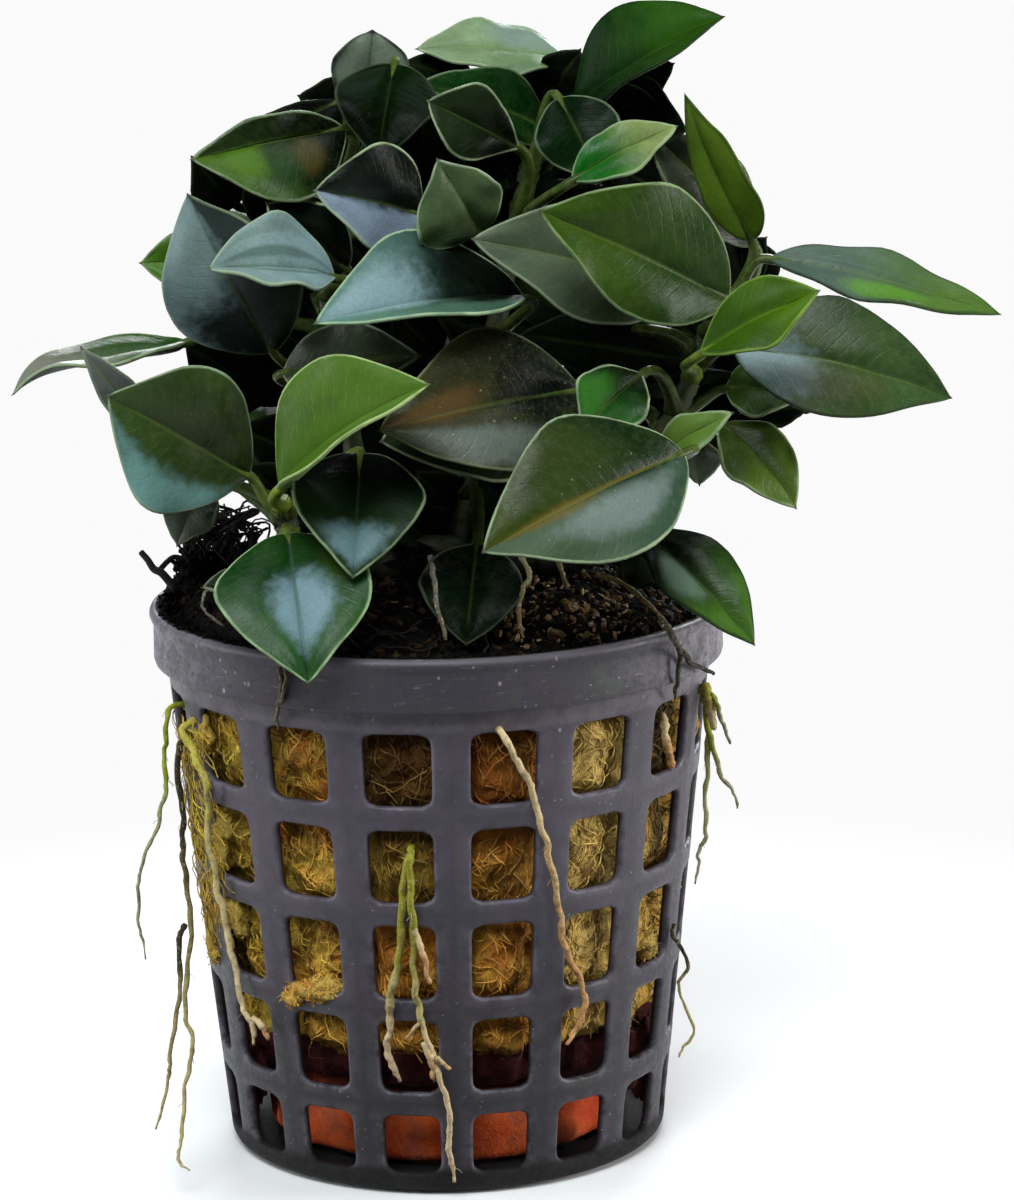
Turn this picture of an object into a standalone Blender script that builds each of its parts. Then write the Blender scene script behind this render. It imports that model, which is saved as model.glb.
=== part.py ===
"""Dwarf anubias in a net pot: a small bushy plant on a creeping rhizome, held by a
rockwool plug in a lattice pot with a fired clay weight at the bottom.
Metres, +Z up, origin at the centre of the pot's underside, front towards -Y.
All tables below are in millimetres and degrees."""
import bpy
import bmesh
from math import sin, cos, pi, radians, log, hypot
from mathutils import Vector

MM = 0.001

# ---------------------------------------------------------------- driving dimensions (mm)
POT_H = 51.6             # overall height of the pot
RIM_R = 27.0             # outer radius at the rounded lip
COLLAR_R = 26.7          # outer radius of the collar below the lip
COLLAR_Z = 46.5          # underside of the collar
COLLAR_IN_R = 25.3       # inner radius just below the lip
WALL_TOP_R = 25.5        # lattice wall, outer radius where it meets the collar
BASE_R = 20.6            # lattice wall, outer radius at the foot
WALL_T = 1.0             # wall thickness
FLOOR_T = 1.2            # thickness of the pot's floor
COLUMNS = 16             # window columns round the pot
WINDOW_DEG = 14.4        # width of a window
COLUMN_0_DEG = -8.3      # centre of the first column, from the front
WINDOW_ROWS = ((2.0, 7.7), (10.0, 17.0), (19.1, 26.2), (28.4, 35.3), (37.6, 44.4))
FLOOR_SLOT_R = (6.5, 16.0)   # drain slots in the floor

GAP = 0.35               # clearance between touching pieces
CLAY_R, CLAY_TOP = 17.8, 8.8
PLUG_BOTTOM, PLUG_TOP = CLAY_TOP + GAP, 45.6
SOIL_BOTTOM, SOIL_EDGE, SOIL_MIDDLE = 46.0, 49.6, 54.2

PETIOLE_R = 0.5          # leaf stalk radius
BLADE_T = 0.55           # leaf thickness at the midrib


# ---------------------------------------------------------------- scene and materials
for ob in list(bpy.data.objects):
    bpy.data.objects.remove(ob, do_unlink=True)


def material(name, colour, roughness, metallic=0.0):
    m = bpy.data.materials.new(name)
    m.use_nodes = True
    b = m.node_tree.nodes["Principled BSDF"]
    b.inputs["Base Color"].default_value = (*colour, 1.0)
    b.inputs["Roughness"].default_value = roughness
    b.inputs["Metallic"].default_value = metallic
    m.diffuse_color = (*colour, 1.0)
    return m


MAT_POT = material("pot_plastic", (0.085, 0.075, 0.095), 0.5)
MAT_CLAY = material("fired_clay", (0.36, 0.10, 0.035), 0.9)
MAT_WOOL = material("rockwool", (0.27, 0.17, 0.04), 0.95)
MAT_SOIL = material("soil", (0.012, 0.010, 0.008), 0.95)
MAT_STEM = material("rhizome", (0.10, 0.14, 0.03), 0.6)
MAT_LEAF = material("leaf_green", (0.02, 0.07, 0.018), 0.35)
MAT_LEAF_YOUNG = material("leaf_young", (0.07, 0.19, 0.015), 0.35)
MAT_ROOT = material("root", (0.36, 0.30, 0.12), 0.7)


def add_object(name, bm, mat, smooth_angle=40):
    bmesh.ops.recalc_face_normals(bm, faces=bm.faces)
    me = bpy.data.meshes.new(name)
    bm.to_mesh(me)
    bm.free()
    me.materials.append(mat)
    me.shade_smooth()
    me.set_sharp_from_angle(angle=radians(smooth_angle))
    ob = bpy.data.objects.new(name, me)
    bpy.context.scene.collection.objects.link(ob)
    return ob


def loft(bm, rings, cap_start=True, cap_end=True):
    """Skin a list of equal rings of points (mm) and close both ends."""
    vs = [[bm.verts.new(Vector(p) * MM) for p in ring] for ring in rings]
    n = len(rings[0])
    for a, b in zip(vs[:-1], vs[1:]):
        for i in range(n):
            j = (i + 1) % n
            bm.faces.new((a[i], a[j], b[j], b[i]))
    if cap_start:
        bm.faces.new(vs[0][::-1])
    if cap_end:
        bm.faces.new(vs[-1])
    return vs


# ---------------------------------------------------------------- net pot
def wall_radius(z):
    """Outer radius of the lattice wall at height z."""
    return BASE_R + (WALL_TOP_R - BASE_R) * z / COLLAR_Z


def on_wall(angle, z, off=0.0):
    """Point at an angle from the front (positive to the right), off mm outside the wall."""
    r = wall_radius(z) + off
    a = radians(angle)
    return Vector((r * sin(a), -r * cos(a), z))


def build_pot():
    bm = bmesh.new()
    pitch = 360.0 / COLUMNS
    angles, is_window = [], []
    for k in range(COLUMNS):
        c = COLUMN_0_DEG + k * pitch
        angles += [c - WINDOW_DEG / 2, c + WINDOW_DEG / 2]
        is_window += [True, False]
    n = len(angles)

    def ring(r, z):
        return [bm.verts.new(Vector((r * sin(radians(a)), -r * cos(radians(a)), z)) * MM) for a in angles]

    def band(a, b, skip=None):
        for i in range(n):
            if skip and skip(i):
                continue
            j = (i + 1) % n
            bm.faces.new((a[i], a[j], b[j], b[i]))

    # heights of the wall's grid lines
    zs = []
    for z0, z1 in WINDOW_ROWS:
        zs += [z0, z1]
    outer = [ring(wall_radius(z), z) for z in zs]
    inner = [ring(wall_radius(z) - WALL_T, z) for z in zs]
    window_band = [i % 2 == 0 for i in range(len(zs) - 1)]
    for skin in (outer, inner):
        for k in range(len(zs) - 1):
            band(skin[k], skin[k + 1], skip=(lambda i: is_window[i]) if window_band[k] else None)
    # window reveals
    for k in range(len(zs) - 1):
        if not window_band[k]:
            continue
        for i in range(n):
            if not is_window[i]:
                continue
            j = (i + 1) % n
            o0, o1, p0, p1 = outer[k], outer[k + 1], inner[k], inner[k + 1]
            bm.faces.new((o0[i], o0[j], p0[j], p0[i]))
            bm.faces.new((o1[i], p1[i], p1[j], o1[j]))
            bm.faces.new((o0[i], p0[i], p1[i], o1[i]))
            bm.faces.new((o0[j], o1[j], p1[j], p0[j]))
    # collar and rounded lip
    top = [ring(WALL_TOP_R, COLLAR_Z), ring(COLLAR_R, COLLAR_Z + 0.2), ring(COLLAR_R, POT_H - 1.2),
           ring(RIM_R, POT_H - 0.5), ring(RIM_R - 0.35, POT_H), ring(RIM_R - 1.1, POT_H), ring(COLLAR_IN_R, POT_H - 0.8),
           ring(WALL_TOP_R - WALL_T, COLLAR_Z)]
    chain = [outer[-1]] + top + [inner[-1]]
    for a, b in zip(chain[:-1], chain[1:]):
        band(a, b)
    # rounded foot and floor with radial drain slots
    foot = [ring(BASE_R, 1.3), ring(BASE_R - 0.4, 0.4), ring(BASE_R - 1.4, 0.0)]
    for a, b in zip([outer[0]] + foot[:-1], foot):
        band(a, b)
    r_in, r_out = FLOOR_SLOT_R
    under = [foot[-1], ring(r_out, 0.0), ring(r_in, 0.0)]
    above = [ring(wall_radius(FLOOR_T) - WALL_T, FLOOR_T), ring(r_out, FLOOR_T), ring(r_in, FLOOR_T)]
    band(inner[0], above[0])
    for s in (under, above):
        band(s[0], s[1])
        band(s[1], s[2], skip=lambda i: is_window[i])
        bm.faces.new(s[2])
    for i in range(n):
        if is_window[i]:
            j = (i + 1) % n
            for k in (1, 2):
                bm.faces.new((under[k][i], under[k][j], above[k][j], above[k][i]))
            for m in (i, j):
                bm.faces.new((under[1][m], under[2][m], above[2][m], above[1][m]))
    return add_object("net_pot", bm, MAT_POT, 30)


SOIL_COLLAR_R = WALL_TOP_R - WALL_T - GAP     # soil radius inside the collar


def soil_height(r, angle):
    """Mounded top of the soil; it banks up against the left of the rim."""
    edge = SOIL_COLLAR_R
    t = min(r / edge, 1.0)
    h = SOIL_EDGE + (SOIL_MIDDLE - SOIL_EDGE) * (1 - t ** 2.6)
    lean = max(0.0, cos(radians(angle) + radians(85)))      # left and a little to the front
    return h + 4.2 * lean ** 2 * t * t


def build_fill():
    bm = bmesh.new()
    n = 24
    profile = ((CLAY_R - 0.8, FLOOR_T + GAP), (CLAY_R, FLOOR_T + 1.2), (CLAY_R, CLAY_TOP - 0.9), (CLAY_R - 0.9, CLAY_TOP))
    loft(bm, [[(r * sin(2 * pi * i / n), -r * cos(2 * pi * i / n), z) for i in range(n)] for r, z in profile])
    add_object("clay_weight", bm, MAT_CLAY)
    bm = bmesh.new()
    n = 20
    rings = []
    for z in (PLUG_BOTTOM, PLUG_BOTTOM + 0.8, PLUG_TOP - 0.6, PLUG_TOP):
        r = wall_radius(z) - WALL_T - GAP - 0.15 - (1.0 if z in (PLUG_BOTTOM, PLUG_TOP) else 0.0)
        rings.append([(r * sin(2 * pi * i / n), -r * cos(2 * pi * i / n), z) for i in range(n)])
    loft(bm, rings)
    add_object("rockwool_plug", bm, MAT_WOOL)

    bm = bmesh.new()
    n = 24
    radii = (SOIL_COLLAR_R, 20.0, 13.0, 6.0)
    base = [bm.verts.new(Vector(((wall_radius(SOIL_BOTTOM) - WALL_T - GAP - 0.3) * sin(2 * pi * i / n),
                                 -(wall_radius(SOIL_BOTTOM) - WALL_T - GAP - 0.3) * cos(2 * pi * i / n), SOIL_BOTTOM)) * MM) for i in range(n)]
    rings = [base, [bm.verts.new(Vector((SOIL_COLLAR_R * sin(2 * pi * i / n), -SOIL_COLLAR_R * cos(2 * pi * i / n), COLLAR_Z + 0.8)) * MM) for i in range(n)]]
    for r in radii:
        rings.append([bm.verts.new(Vector((r * sin(2 * pi * i / n), -r * cos(2 * pi * i / n), soil_height(r, 360.0 * i / n))) * MM) for i in range(n)])
    for a, b in zip(rings[:-1], rings[1:]):
        for i in range(n):
            j = (i + 1) % n
            bm.faces.new((a[i], a[j], b[j], b[i]))
    bm.faces.new(base[::-1])
    tip = bm.verts.new(Vector((0, 0, soil_height(0, 0))) * MM)
    for i in range(n):
        bm.faces.new((rings[-1][i], rings[-1][(i + 1) % n], tip))
    add_object("soil", bm, MAT_SOIL)


# ---------------------------------------------------------------- curves and tubes
def smooth_path(points, per=4):
    """Catmull-Rom curve through the points, per steps to each span."""
    p = [Vector(q) for q in points]
    p = [p[0] * 2 - p[1]] + p + [p[-1] * 2 - p[-2]]
    out = []
    for i in range(1, len(p) - 2):
        a, b, c, d = p[i - 1], p[i], p[i + 1], p[i + 2]
        for k in range(per):
            t = k / per
            out.append(0.5 * ((2 * b) + (c - a) * t + (2 * a - 5 * b + 4 * c - d) * t * t + (3 * b - a - 3 * c + d) * t ** 3))
    out.append(p[-2])
    return out


def tube(name, path, r0, r1, mat, sides=8):
    """Tapered tube along a path, closed at both ends."""
    rings = []
    normal = None
    m = len(path)
    for i, q in enumerate(path):
        t = (path[min(i + 1, m - 1)] - path[max(i - 1, 0)]).normalized()
        if normal is None:
            ref = Vector((0, 0, 1)) if abs(t.z) < 0.8 else Vector((1, 0, 0))
            normal = (ref - t * ref.dot(t)).normalized()
        else:
            normal = (normal - t * normal.dot(t)).normalized()
        side = t.cross(normal)
        r = r0 + (r1 - r0) * i / (m - 1)
        rings.append([q + normal * (r * cos(2 * pi * k / sides)) + side * (r * sin(2 * pi * k / sides)) for k in range(sides)])
    bm = bmesh.new()
    loft(bm, rings)
    return add_object(name, bm, mat)


# ---------------------------------------------------------------- rhizome and its branches
# name: path points (mm), radius at start and end
STEMS = {
    "rhizome": (((-13.0, -6.0, 56.6), (-6.0, -5.2, 56.3), (1.0, -4.2, 56.6), (8.0, -3.2, 56.0), (14.0, -3.0, 55.8)), 1.9, 1.7),
    "stem_left": (((-12.6, -9.7, 57.8), (-13.4, -11.3, 60.8), (-13.9, -12.6, 63.6)), 1.2, 0.9),
    "stem_right": (((17.0, -3.4, 57.8), (20.0, -3.6, 65.0), (23.6, -3.4, 72.0), (26.0, -3.2, 79.0)), 1.3, 0.8),
    "stem_top": (((3.0, -3.6, 60.4), (4.5, -1.2, 70.0), (7.0, 0.8, 82.0), (9.5, 2.0, 93.0)), 1.3, 0.8),
    "stem_upper_left": (((-6.0, -4.6, 60.0), (-8.0, -2.6, 70.0), (-9.5, -0.8, 81.0), (-8.5, 1.2, 91.0)), 1.3, 0.8),
    "stem_back": (((1.0, -0.2, 58.4), (1.0, 5.0, 64.0), (0.6, 8.6, 74.0), (0.6, 10.0, 84.0)), 1.3, 0.8),
}


def stem_point(name, u):
    pts, r0, r1 = STEMS[name]
    path = smooth_path(pts, 6)
    x = u * (len(path) - 1)
    i = min(int(x), len(path) - 2)
    p = path[i].lerp(path[i + 1], x - i)
    return p, (path[i + 1] - path[i]).normalized(), r0 + (r1 - r0) * u


# ---------------------------------------------------------------- leaves
# name, stem, place on the stem (0 foot .. 1 top), blade base, blade tip, width, way the face looks
# (azimuth from the front, elevation), arch of the midrib, fold of each half (deg), shape options
LEAVES = (
    ("leaf_01", "stem_upper_left", 0.55, (-22.5, -2.0, 76.6), (-38.5, -5.0, 72.3), 8.0, (0, 82), 1.5, 10, dict(arch_at=0.75)),
    ("leaf_02", "stem_left", 0.80, (-16.5, -14.0, 66.0), (-28.6, -18.0, 74.2), 14.0, (0, 12), 1.0, 8, dict(wide=0.5)),
    ("leaf_04", "stem_left", 0.45, (-13.0, -18.0, 61.5), (-11.0, -30.0, 50.5), 14.0, (0, 38), 1.2, 8, dict()),
    ("leaf_05", "stem_left", 0.75, (-6.5, -14.5, 68.0), (-7.0, -26.0, 59.0), 12.0, (5, 25), 1.2, 10, dict()),
    ("leaf_06", "stem_left", 0.95, (-13.5, -20.0, 66.0), (0.0, -26.0, 76.0), 15.0, (-35, 48), 0.8, 34, dict()),
    ("leaf_07", "stem_upper_left", 0.35, (-13.5, -9.0, 74.5), (-1.0, -13.0, 76.5), 7.5, (0, 30), 0.8, 10, dict()),
    ("leaf_08", "stem_top", 0.35, (13.5, -12.0, 73.0), (-4.5, -20.0, 71.0), 13.5, (0, 25), 1.2, 8, dict()),
    ("leaf_09", "stem_top", 0.25, (12.5, -9.0, 71.0), (-4.5, -17.0, 69.5), 12.0, (0, 20), 1.0, 8, dict()),
    ("leaf_10", "stem_right", 0.25, (22.5, -17.0, 68.0), (4.5, -28.0, 61.5), 14.5, (0, 30), 1.2, 8, dict()),
    ("leaf_11", "stem_right", 0.55, (19.0, -12.0, 74.4), (13.6, -17.0, 70.2), 7.2, (-5, 25), 0.6, 15, dict(wide=0.56)),
    ("leaf_12", "stem_right", 0.90, (27.0, -9.0, 80.5), (10.0, -18.0, 90.0), 12.4, (0, 20), 1.0, 8, dict(asym=0.1)),
    ("leaf_13", "stem_right", 0.98, (23.0, -5.0, 81.0), (4.0, -13.0, 87.0), 11.5, (0, 25), 1.0, 8, dict()),
    ("leaf_14", "stem_right", 0.70, (24.0, -15.0, 76.5), (34.5, -18.0, 82.5), 7.2, (0, 40), 0.8, 12, dict(wide=0.56)),
    ("leaf_15", "stem_right", 0.75, (27.5, -8.0, 76.0), (47.0, -10.0, 71.4), 12.0, (0, 36), 1.4, 10, dict(asym=-0.02, wide=0.43)),
    ("leaf_16", "stem_right", 0.80, (31.0, -3.0, 83.5), (52.0, -5.0, 78.2), 7.4, (0, 60), 0.4, 8, dict()),
    ("leaf_17", "stem_right", 0.98, (29.5, -1.5, 85.0), (23.4, -5.0, 98.7), 5.6, (-30, 10), 0.8, 12, dict(wide=0.36, asym=0.2)),
    ("leaf_18", "stem_right", 0.90, (30.0, 2.0, 84.0), (20.0, 0.0, 95.5), 7.5, (0, 25), 0.8, 10, dict()),
    ("leaf_19", "stem_top", 0.98, (13.5, 2.0, 97.0), (27.0, -3.0, 105.5), 12.0, (-25, 50), 0.6, 26, dict()),
    ("leaf_20", "stem_top", 0.80, (13.0, -9.0, 92.5), (22.5, -7.0, 97.0), 5.0, (0, 40), 0.5, 12, dict()),
    ("leaf_21", "stem_top", 0.95, (13.0, 8.0, 100.8), (-1.0, 5.0, 102.4), 9.0, (0, 62), 0.6, 5, dict()),
    ("leaf_22", "stem_top", 0.90, (11.5, 3.0, 94.3), (-0.6, -1.4, 99.9), 7.6, (0, 40), 0.9, 8, dict()),
    ("leaf_23", "stem_top", 0.75, (8.4, -4.6, 94.0), (0.2, -7.4, 98.8), 7.0, (-10, 20), 0.8, 10, dict(wide=0.6)),
    ("leaf_24", "stem_top", 0.60, (4.5, -9.0, 87.0), (1.0, -12.0, 94.0), 9.0, (0, 20), 0.8, 10, dict(wide=0.42, asym=-0.2)),
    ("leaf_25", "stem_top", 0.85, (12.0, -3.5, 98.5), (15.5, -7.0, 91.0), 8.0, (0, 30), 0.8, 10, dict()),
    ("leaf_26", "stem_upper_left", 0.80, (-0.5, -7.5, 88.5), (-10.0, -12.5, 91.5), 10.0, (0, 20), 0.8, 10, dict(asym=0.1)),
    ("leaf_27", "stem_upper_left", 0.65, (-8.5, -11.0, 83.5), (-19.5, -15.0, 85.0), 10.5, (0, 52), 0.6, 26, dict()),
    ("leaf_28", "stem_upper_left", 0.40, (-14.5, -6.0, 76.0), (-21.5, -10.0, 91.0), 13.0, (-15, 10), 1.0, 10, dict()),
    ("leaf_29", "stem_upper_left", 0.70, (-20.5, -1.0, 83.5), (-26.5, -3.0, 84.0), 5.5, (0, 20), 0.6, 10, dict()),
    ("leaf_30", "stem_upper_left", 0.92, (-7.5, -3.0, 96.0), (-21.2, -8.0, 94.0), 9.5, (0, 25), 0.4, 14, dict(asym=-0.45)),
    ("leaf_31", "stem_upper_left", 0.98, (-5.6, 5.0, 94.5), (-5.0, 3.0, 104.2), 7.2, (0, 10), 0.8, 10, dict(wide=0.68)),
    ("leaf_32", "stem_upper_left", 0.95, (-3.0, 0.0, 101.5), (-4.5, -6.0, 93.5), 9.5, (0, 30), 0.8, 10, dict()),
    ("leaf_34", "stem_top", 0.50, (8.5, -9.0, 81.0), (-10.0, -19.0, 80.5), 14.0, (0, 55), 0.8, 30, dict()),
    ("leaf_36", "stem_right", 0.45, (26.5, -5.0, 68.5), (33.0, -9.0, 61.3), 7.2, (20, 30), 0.8, 10, dict(asym=0.05)),
    ("leaf_39", "stem_right", 0.08, (19.0, -12.0, 60.0), (28.6, -18.0, 50.6), 7.5, (15, 40), 0.7, 10, dict(asym=-0.08)),
    ("leaf_40", "stem_top", 0.05, (3.9, -14.0, 59.5), (2.8, -22.0, 51.9), 9.5, (0, 30), 0.8, 10, dict(wide=0.52)),
    ("leaf_back_1", "stem_back", 0.35, (-9.0, 13.0, 66.0), (-19.0, 25.0, 64.0), 12.0, (-150, 45), 1.2, 10, dict()),
    ("leaf_back_2", "stem_back", 0.65, (-8.0, 14.0, 78.0), (-17.0, 27.0, 80.0), 12.0, (-155, 50), 1.2, 10, dict()),
    ("leaf_back_3", "stem_back", 0.45, (-1.0, 15.0, 69.0), (-3.0, 31.0, 66.0), 13.0, (180, 50), 1.4, 10, dict()),
    ("leaf_back_4", "stem_back", 0.85, (2.0, 14.0, 83.0), (3.0, 29.0, 86.0), 12.0, (180, 55), 1.4, 10, dict()),
    ("leaf_back_5", "stem_back", 0.60, (9.0, 13.0, 75.0), (18.0, 26.0, 74.0), 12.0, (150, 45), 1.2, 10, dict()),
    ("leaf_back_6", "stem_top", 0.70, (12.0, 9.0, 84.0), (22.0, 19.0, 88.0), 11.0, (130, 50), 1.2, 10, dict()),
    ("leaf_back_7", "stem_back", 0.20, (13.0, 10.0, 64.0), (22.0, 22.0, 60.0), 12.0, (140, 40), 1.2, 10, dict()),
    ("leaf_back_8", "stem_upper_left", 0.60, (-14.0, 7.0, 85.0), (-20.5, 19.0, 88.0), 10.0, (-140, 50), 1.0, 10, dict()),
    ("leaf_back_9", "stem_back", 0.08, (-5.0, 12.0, 58.5), (-9.0, 28.0, 56.5), 12.0, (185, 45), 1.2, 10, dict()),
)
YOUNG = ("leaf_06", "leaf_14", "leaf_17", "leaf_20", "leaf_29", "leaf_back_6")


def face_direction(az, el):
    a, e = radians(az), radians(el)
    return Vector((sin(a) * cos(e), -cos(a) * cos(e), sin(e)))


def half_width(u, wide):
    """Outline of an ovate blade, 0..1, widest at u = wide."""
    x = min(max(u, 0.0), 1.0) ** (log(0.5) / log(wide))
    return max(sin(pi * x), 0.0) ** 0.85 * (1 - 0.16 * max(0.0, (u - wide) / (1 - wide)) ** 1.5)


def bump(u, at):
    """0 at both ends and 1 at u = at."""
    return (u / at) ** (at / (1 - at)) * ((1 - u) / (1 - at))


class Blade:
    def __init__(self, base, tip, width, face, arch, fold, wide=0.46, asym=0.0, arch_at=0.5):
        self.base, self.tip, self.width = Vector(base), Vector(tip), width
        self.along = self.tip - self.base
        a = self.along.normalized()
        n = face_direction(*face)
        self.normal = (n - a * n.dot(a)).normalized()
        self.side = a.cross(self.normal)
        self.arch, self.fold, self.wide, self.asym, self.arch_at = arch, radians(fold), wide, asym, arch_at

    def midrib(self, u):
        return self.base + self.along * u + self.normal * (self.arch * bump(u, self.arch_at))

    def point(self, u, t):
        """Point of the blade's middle surface; u along, t -1..1 across."""
        w = self.width / 2 * half_width(u, self.wide) * (1 + self.asym * (1 if t > 0 else -1))
        return self.midrib(u) + self.side * (w * t * cos(self.fold)) + self.normal * (w * abs(t) * sin(self.fold))


def build_leaf(name, stem, place, base, tip, width, face, arch, fold, shape, mat):
    blade = Blade(base, tip, width, face, arch, fold, **shape)
    # stalk: leaves the stem sideways and upwards, and runs into the midrib
    p, t, r = stem_point(stem, place)
    out = blade.base - p
    out = (out - t * out.dot(t)).normalized()
    start = p + out * (r + GAP + PETIOLE_R)
    run = (blade.base - start).length
    d0 = (out + t * 0.6).normalized()
    d1 = (blade.midrib(0.04) - blade.midrib(0.0)).normalized()
    b0, b1, b2, b3 = start, start + d0 * run * 0.35, blade.base - d1 * run * 0.3, blade.base
    stalk = []
    steps = 3
    for i in range(steps):
        s = i / steps
        q = b0 * (1 - s) ** 3 + b1 * 3 * s * (1 - s) ** 2 + b2 * 3 * s * s * (1 - s) + b3 * s ** 3
        stalk.append(q)
    stalk.append(blade.base)
    rings = []
    normal = blade.normal
    frames = []
    for i in range(steps - 1, -1, -1):
        tg = (stalk[i + 1] - stalk[i]).normalized()
        normal = (normal - tg * normal.dot(tg)).normalized()
        frames.append((stalk[i], tg, normal))
    for q, tg, nn in frames[::-1]:
        side = tg.cross(nn)
        rings.append([q + side * (PETIOLE_R * cos(a)) + nn * (PETIOLE_R * sin(a)) for a in (pi, pi * 2 / 3, pi / 3, 0, -pi / 3, -pi * 2 / 3)])
    for u in (0.04, 0.2, 0.4, 0.6, 0.8, 0.94):
        th = BLADE_T / 2 * (1 - 0.5 * u)
        left, right = blade.point(u, -1), blade.point(u, 1)
        lm, rm = blade.point(u, -0.3), blade.point(u, 0.3)
        if u < 0.05:
            c = blade.midrib(u)
            left, right = c - blade.side * max((c - left).length, 0.7), c + blade.side * max((right - c).length, 0.7)
            lm, rm = c - blade.side * 0.3, c + blade.side * 0.3
            th = 0.42
        nn = blade.normal
        rings.append([left, lm + nn * th, rm + nn * th, right, rm - nn * th, lm - nn * th])
    bm = bmesh.new()
    vs = loft(bm, rings, cap_end=False)
    end = bm.verts.new(blade.point(1.0, 0.0) * MM)
    for i in range(6):
        bm.faces.new((vs[-1][i], vs[-1][(i + 1) % 6], end))
    return add_object(name, bm, mat, 60)


# ---------------------------------------------------------------- roots
# (angle round the pot, height, distance from the wall) for points down each root, radius at start and end
ROOTS = {
    "root_left_outer": (((-71, 43.2, 1.2), (-69.5, 37.5, 2.5), (-68.5, 34, 3.5), (-68, 29.5, 6), (-69, 25, 7), (-68.5, 20, 7)), 0.45, 0.3),
    "root_left_long": (((-66.5, 40.5, 1.2), (-67, 33.5, 1.8), (-65.5, 29.5, 2.5), (-62.5, 24.5, 3), (-57.5, 16, 6), (-55.5, 13.5, 6),
                        (-54.5, 8.5, 8), (-52, 4, 10), (-49.5, 2.5, 10)), 0.55, 0.3),
    "root_left_thick": (((-63, 42.5, 1.1), (-60, 40.5, 1.1), (-55.5, 38, 1.1), (-57, 34.5, 1.1), (-56.5, 27, 1.1), (-55, 22, 1.1), (-53, 17, 1.1),
                         (-50, 15, 1.1), (-50, 12.8, 1.1)), 0.6, 0.35),
    "root_centre": (((-6, 33, 1.1), (-6, 29, 1.1), (-6, 24, 1.1), (-5.5, 19.5, 1.1), (-3, 15, 1.1), (-0.5, 11.5, 1.1), (1.5, 8, 1.1), (1, 5, 1.1), (2, 1.6, 1.1)), 0.6, 0.3),
    "root_right_pale": (((13.5, 44, 1.1), (18, 40, 1.1), (21, 36, 1.1), (24.5, 30, 1.1), (27.5, 24, 1.1), (33, 19, 1.1), (33, 16.5, 1.1), (29, 14, 1.1)), 0.6, 0.4),
    "root_right_side": (((76.5, 43, 1.1), (74.5, 38, 1.1), (72, 31, 2), (71.5, 28.5, 1.6), (71.5, 25.5, 1.6)), 0.45, 0.3),
}

build_pot()
build_fill()
for stem_name, (pts, r0, r1) in STEMS.items():
    tube(stem_name, smooth_path(pts, 2), r0, r1, MAT_STEM, 8)
for row in LEAVES:
    build_leaf(*row, MAT_LEAF_YOUNG if row[0] in YOUNG else MAT_LEAF)
for root_name, (pts, r0, r1) in ROOTS.items():
    tube(root_name, smooth_path([on_wall(*p) for p in pts], 2), r0, r1, MAT_ROOT, 5)
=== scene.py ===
"""Finished look of a dwarf anubias in a lattice net pot.
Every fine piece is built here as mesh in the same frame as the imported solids: metres, +Z up,
origin at the centre of the pot's underside, front towards -Y. Tables are in millimetres and degrees."""
import bpy
import random
import numpy as np
from math import sin, cos, tan, pi, radians, log, hypot, exp, sqrt, atan2, degrees
from mathutils import Vector, Matrix, noise


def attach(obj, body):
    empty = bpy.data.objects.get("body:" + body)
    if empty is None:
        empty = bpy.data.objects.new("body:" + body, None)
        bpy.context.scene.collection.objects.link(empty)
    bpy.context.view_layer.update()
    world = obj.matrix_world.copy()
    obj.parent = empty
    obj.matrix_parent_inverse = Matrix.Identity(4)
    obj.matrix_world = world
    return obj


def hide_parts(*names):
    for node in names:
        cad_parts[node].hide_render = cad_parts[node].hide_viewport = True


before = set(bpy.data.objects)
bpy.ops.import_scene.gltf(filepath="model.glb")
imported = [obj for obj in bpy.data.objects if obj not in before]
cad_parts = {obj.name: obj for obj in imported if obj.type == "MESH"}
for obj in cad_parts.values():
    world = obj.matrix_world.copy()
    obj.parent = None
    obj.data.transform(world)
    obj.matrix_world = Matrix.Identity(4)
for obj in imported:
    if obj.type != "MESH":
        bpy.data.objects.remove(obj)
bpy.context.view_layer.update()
MM = 0.001
scene = bpy.context.scene

# ---------------------------------------------------------------- sizes shared with the solids (mm)
POT_H, RIM_R, COLLAR_R, COLLAR_Z, COLLAR_IN_R = 51.6, 27.0, 26.7, 46.5, 25.3
WALL_TOP_R, BASE_R, WALL_T, FLOOR_T = 25.5, 20.6, 1.0, 1.2
COLUMNS, WINDOW_DEG, COLUMN_0_DEG = 16, 14.4, -8.3
WINDOW_ROWS = ((2.0, 7.7), (10.0, 17.0), (19.1, 26.2), (28.4, 35.3), (37.6, 44.4))
FLOOR_SLOT_R = (6.5, 16.0)
GAP = 0.35
CLAY_R, CLAY_TOP = 17.8, 8.8
PLUG_BOTTOM, PLUG_TOP = CLAY_TOP + GAP, 45.6
DARK_FOOT_LINE = 13.2             # below it the plug is ragged and dark: wet wool, with painted shade in the gap above the clay
SOIL_BOTTOM, SOIL_EDGE, SOIL_MIDDLE = 46.0, 49.6, 54.2
SOIL_COLLAR_R = WALL_TOP_R - WALL_T - GAP


def wall_radius(z):
    return BASE_R + (WALL_TOP_R - BASE_R) * z / COLLAR_Z


def on_wall(angle, z, off=0.0):
    r = wall_radius(z) + off
    a = radians(angle)
    return Vector((r * sin(a), -r * cos(a), z))


def soil_height(r, angle):
    t = min(r / SOIL_COLLAR_R, 1.0)
    h = SOIL_EDGE + (SOIL_MIDDLE - SOIL_EDGE) * (1 - t ** 2.6)
    lean = max(0.0, cos(radians(angle) + radians(85)))
    return h + 4.2 * lean ** 2 * t * t


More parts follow.
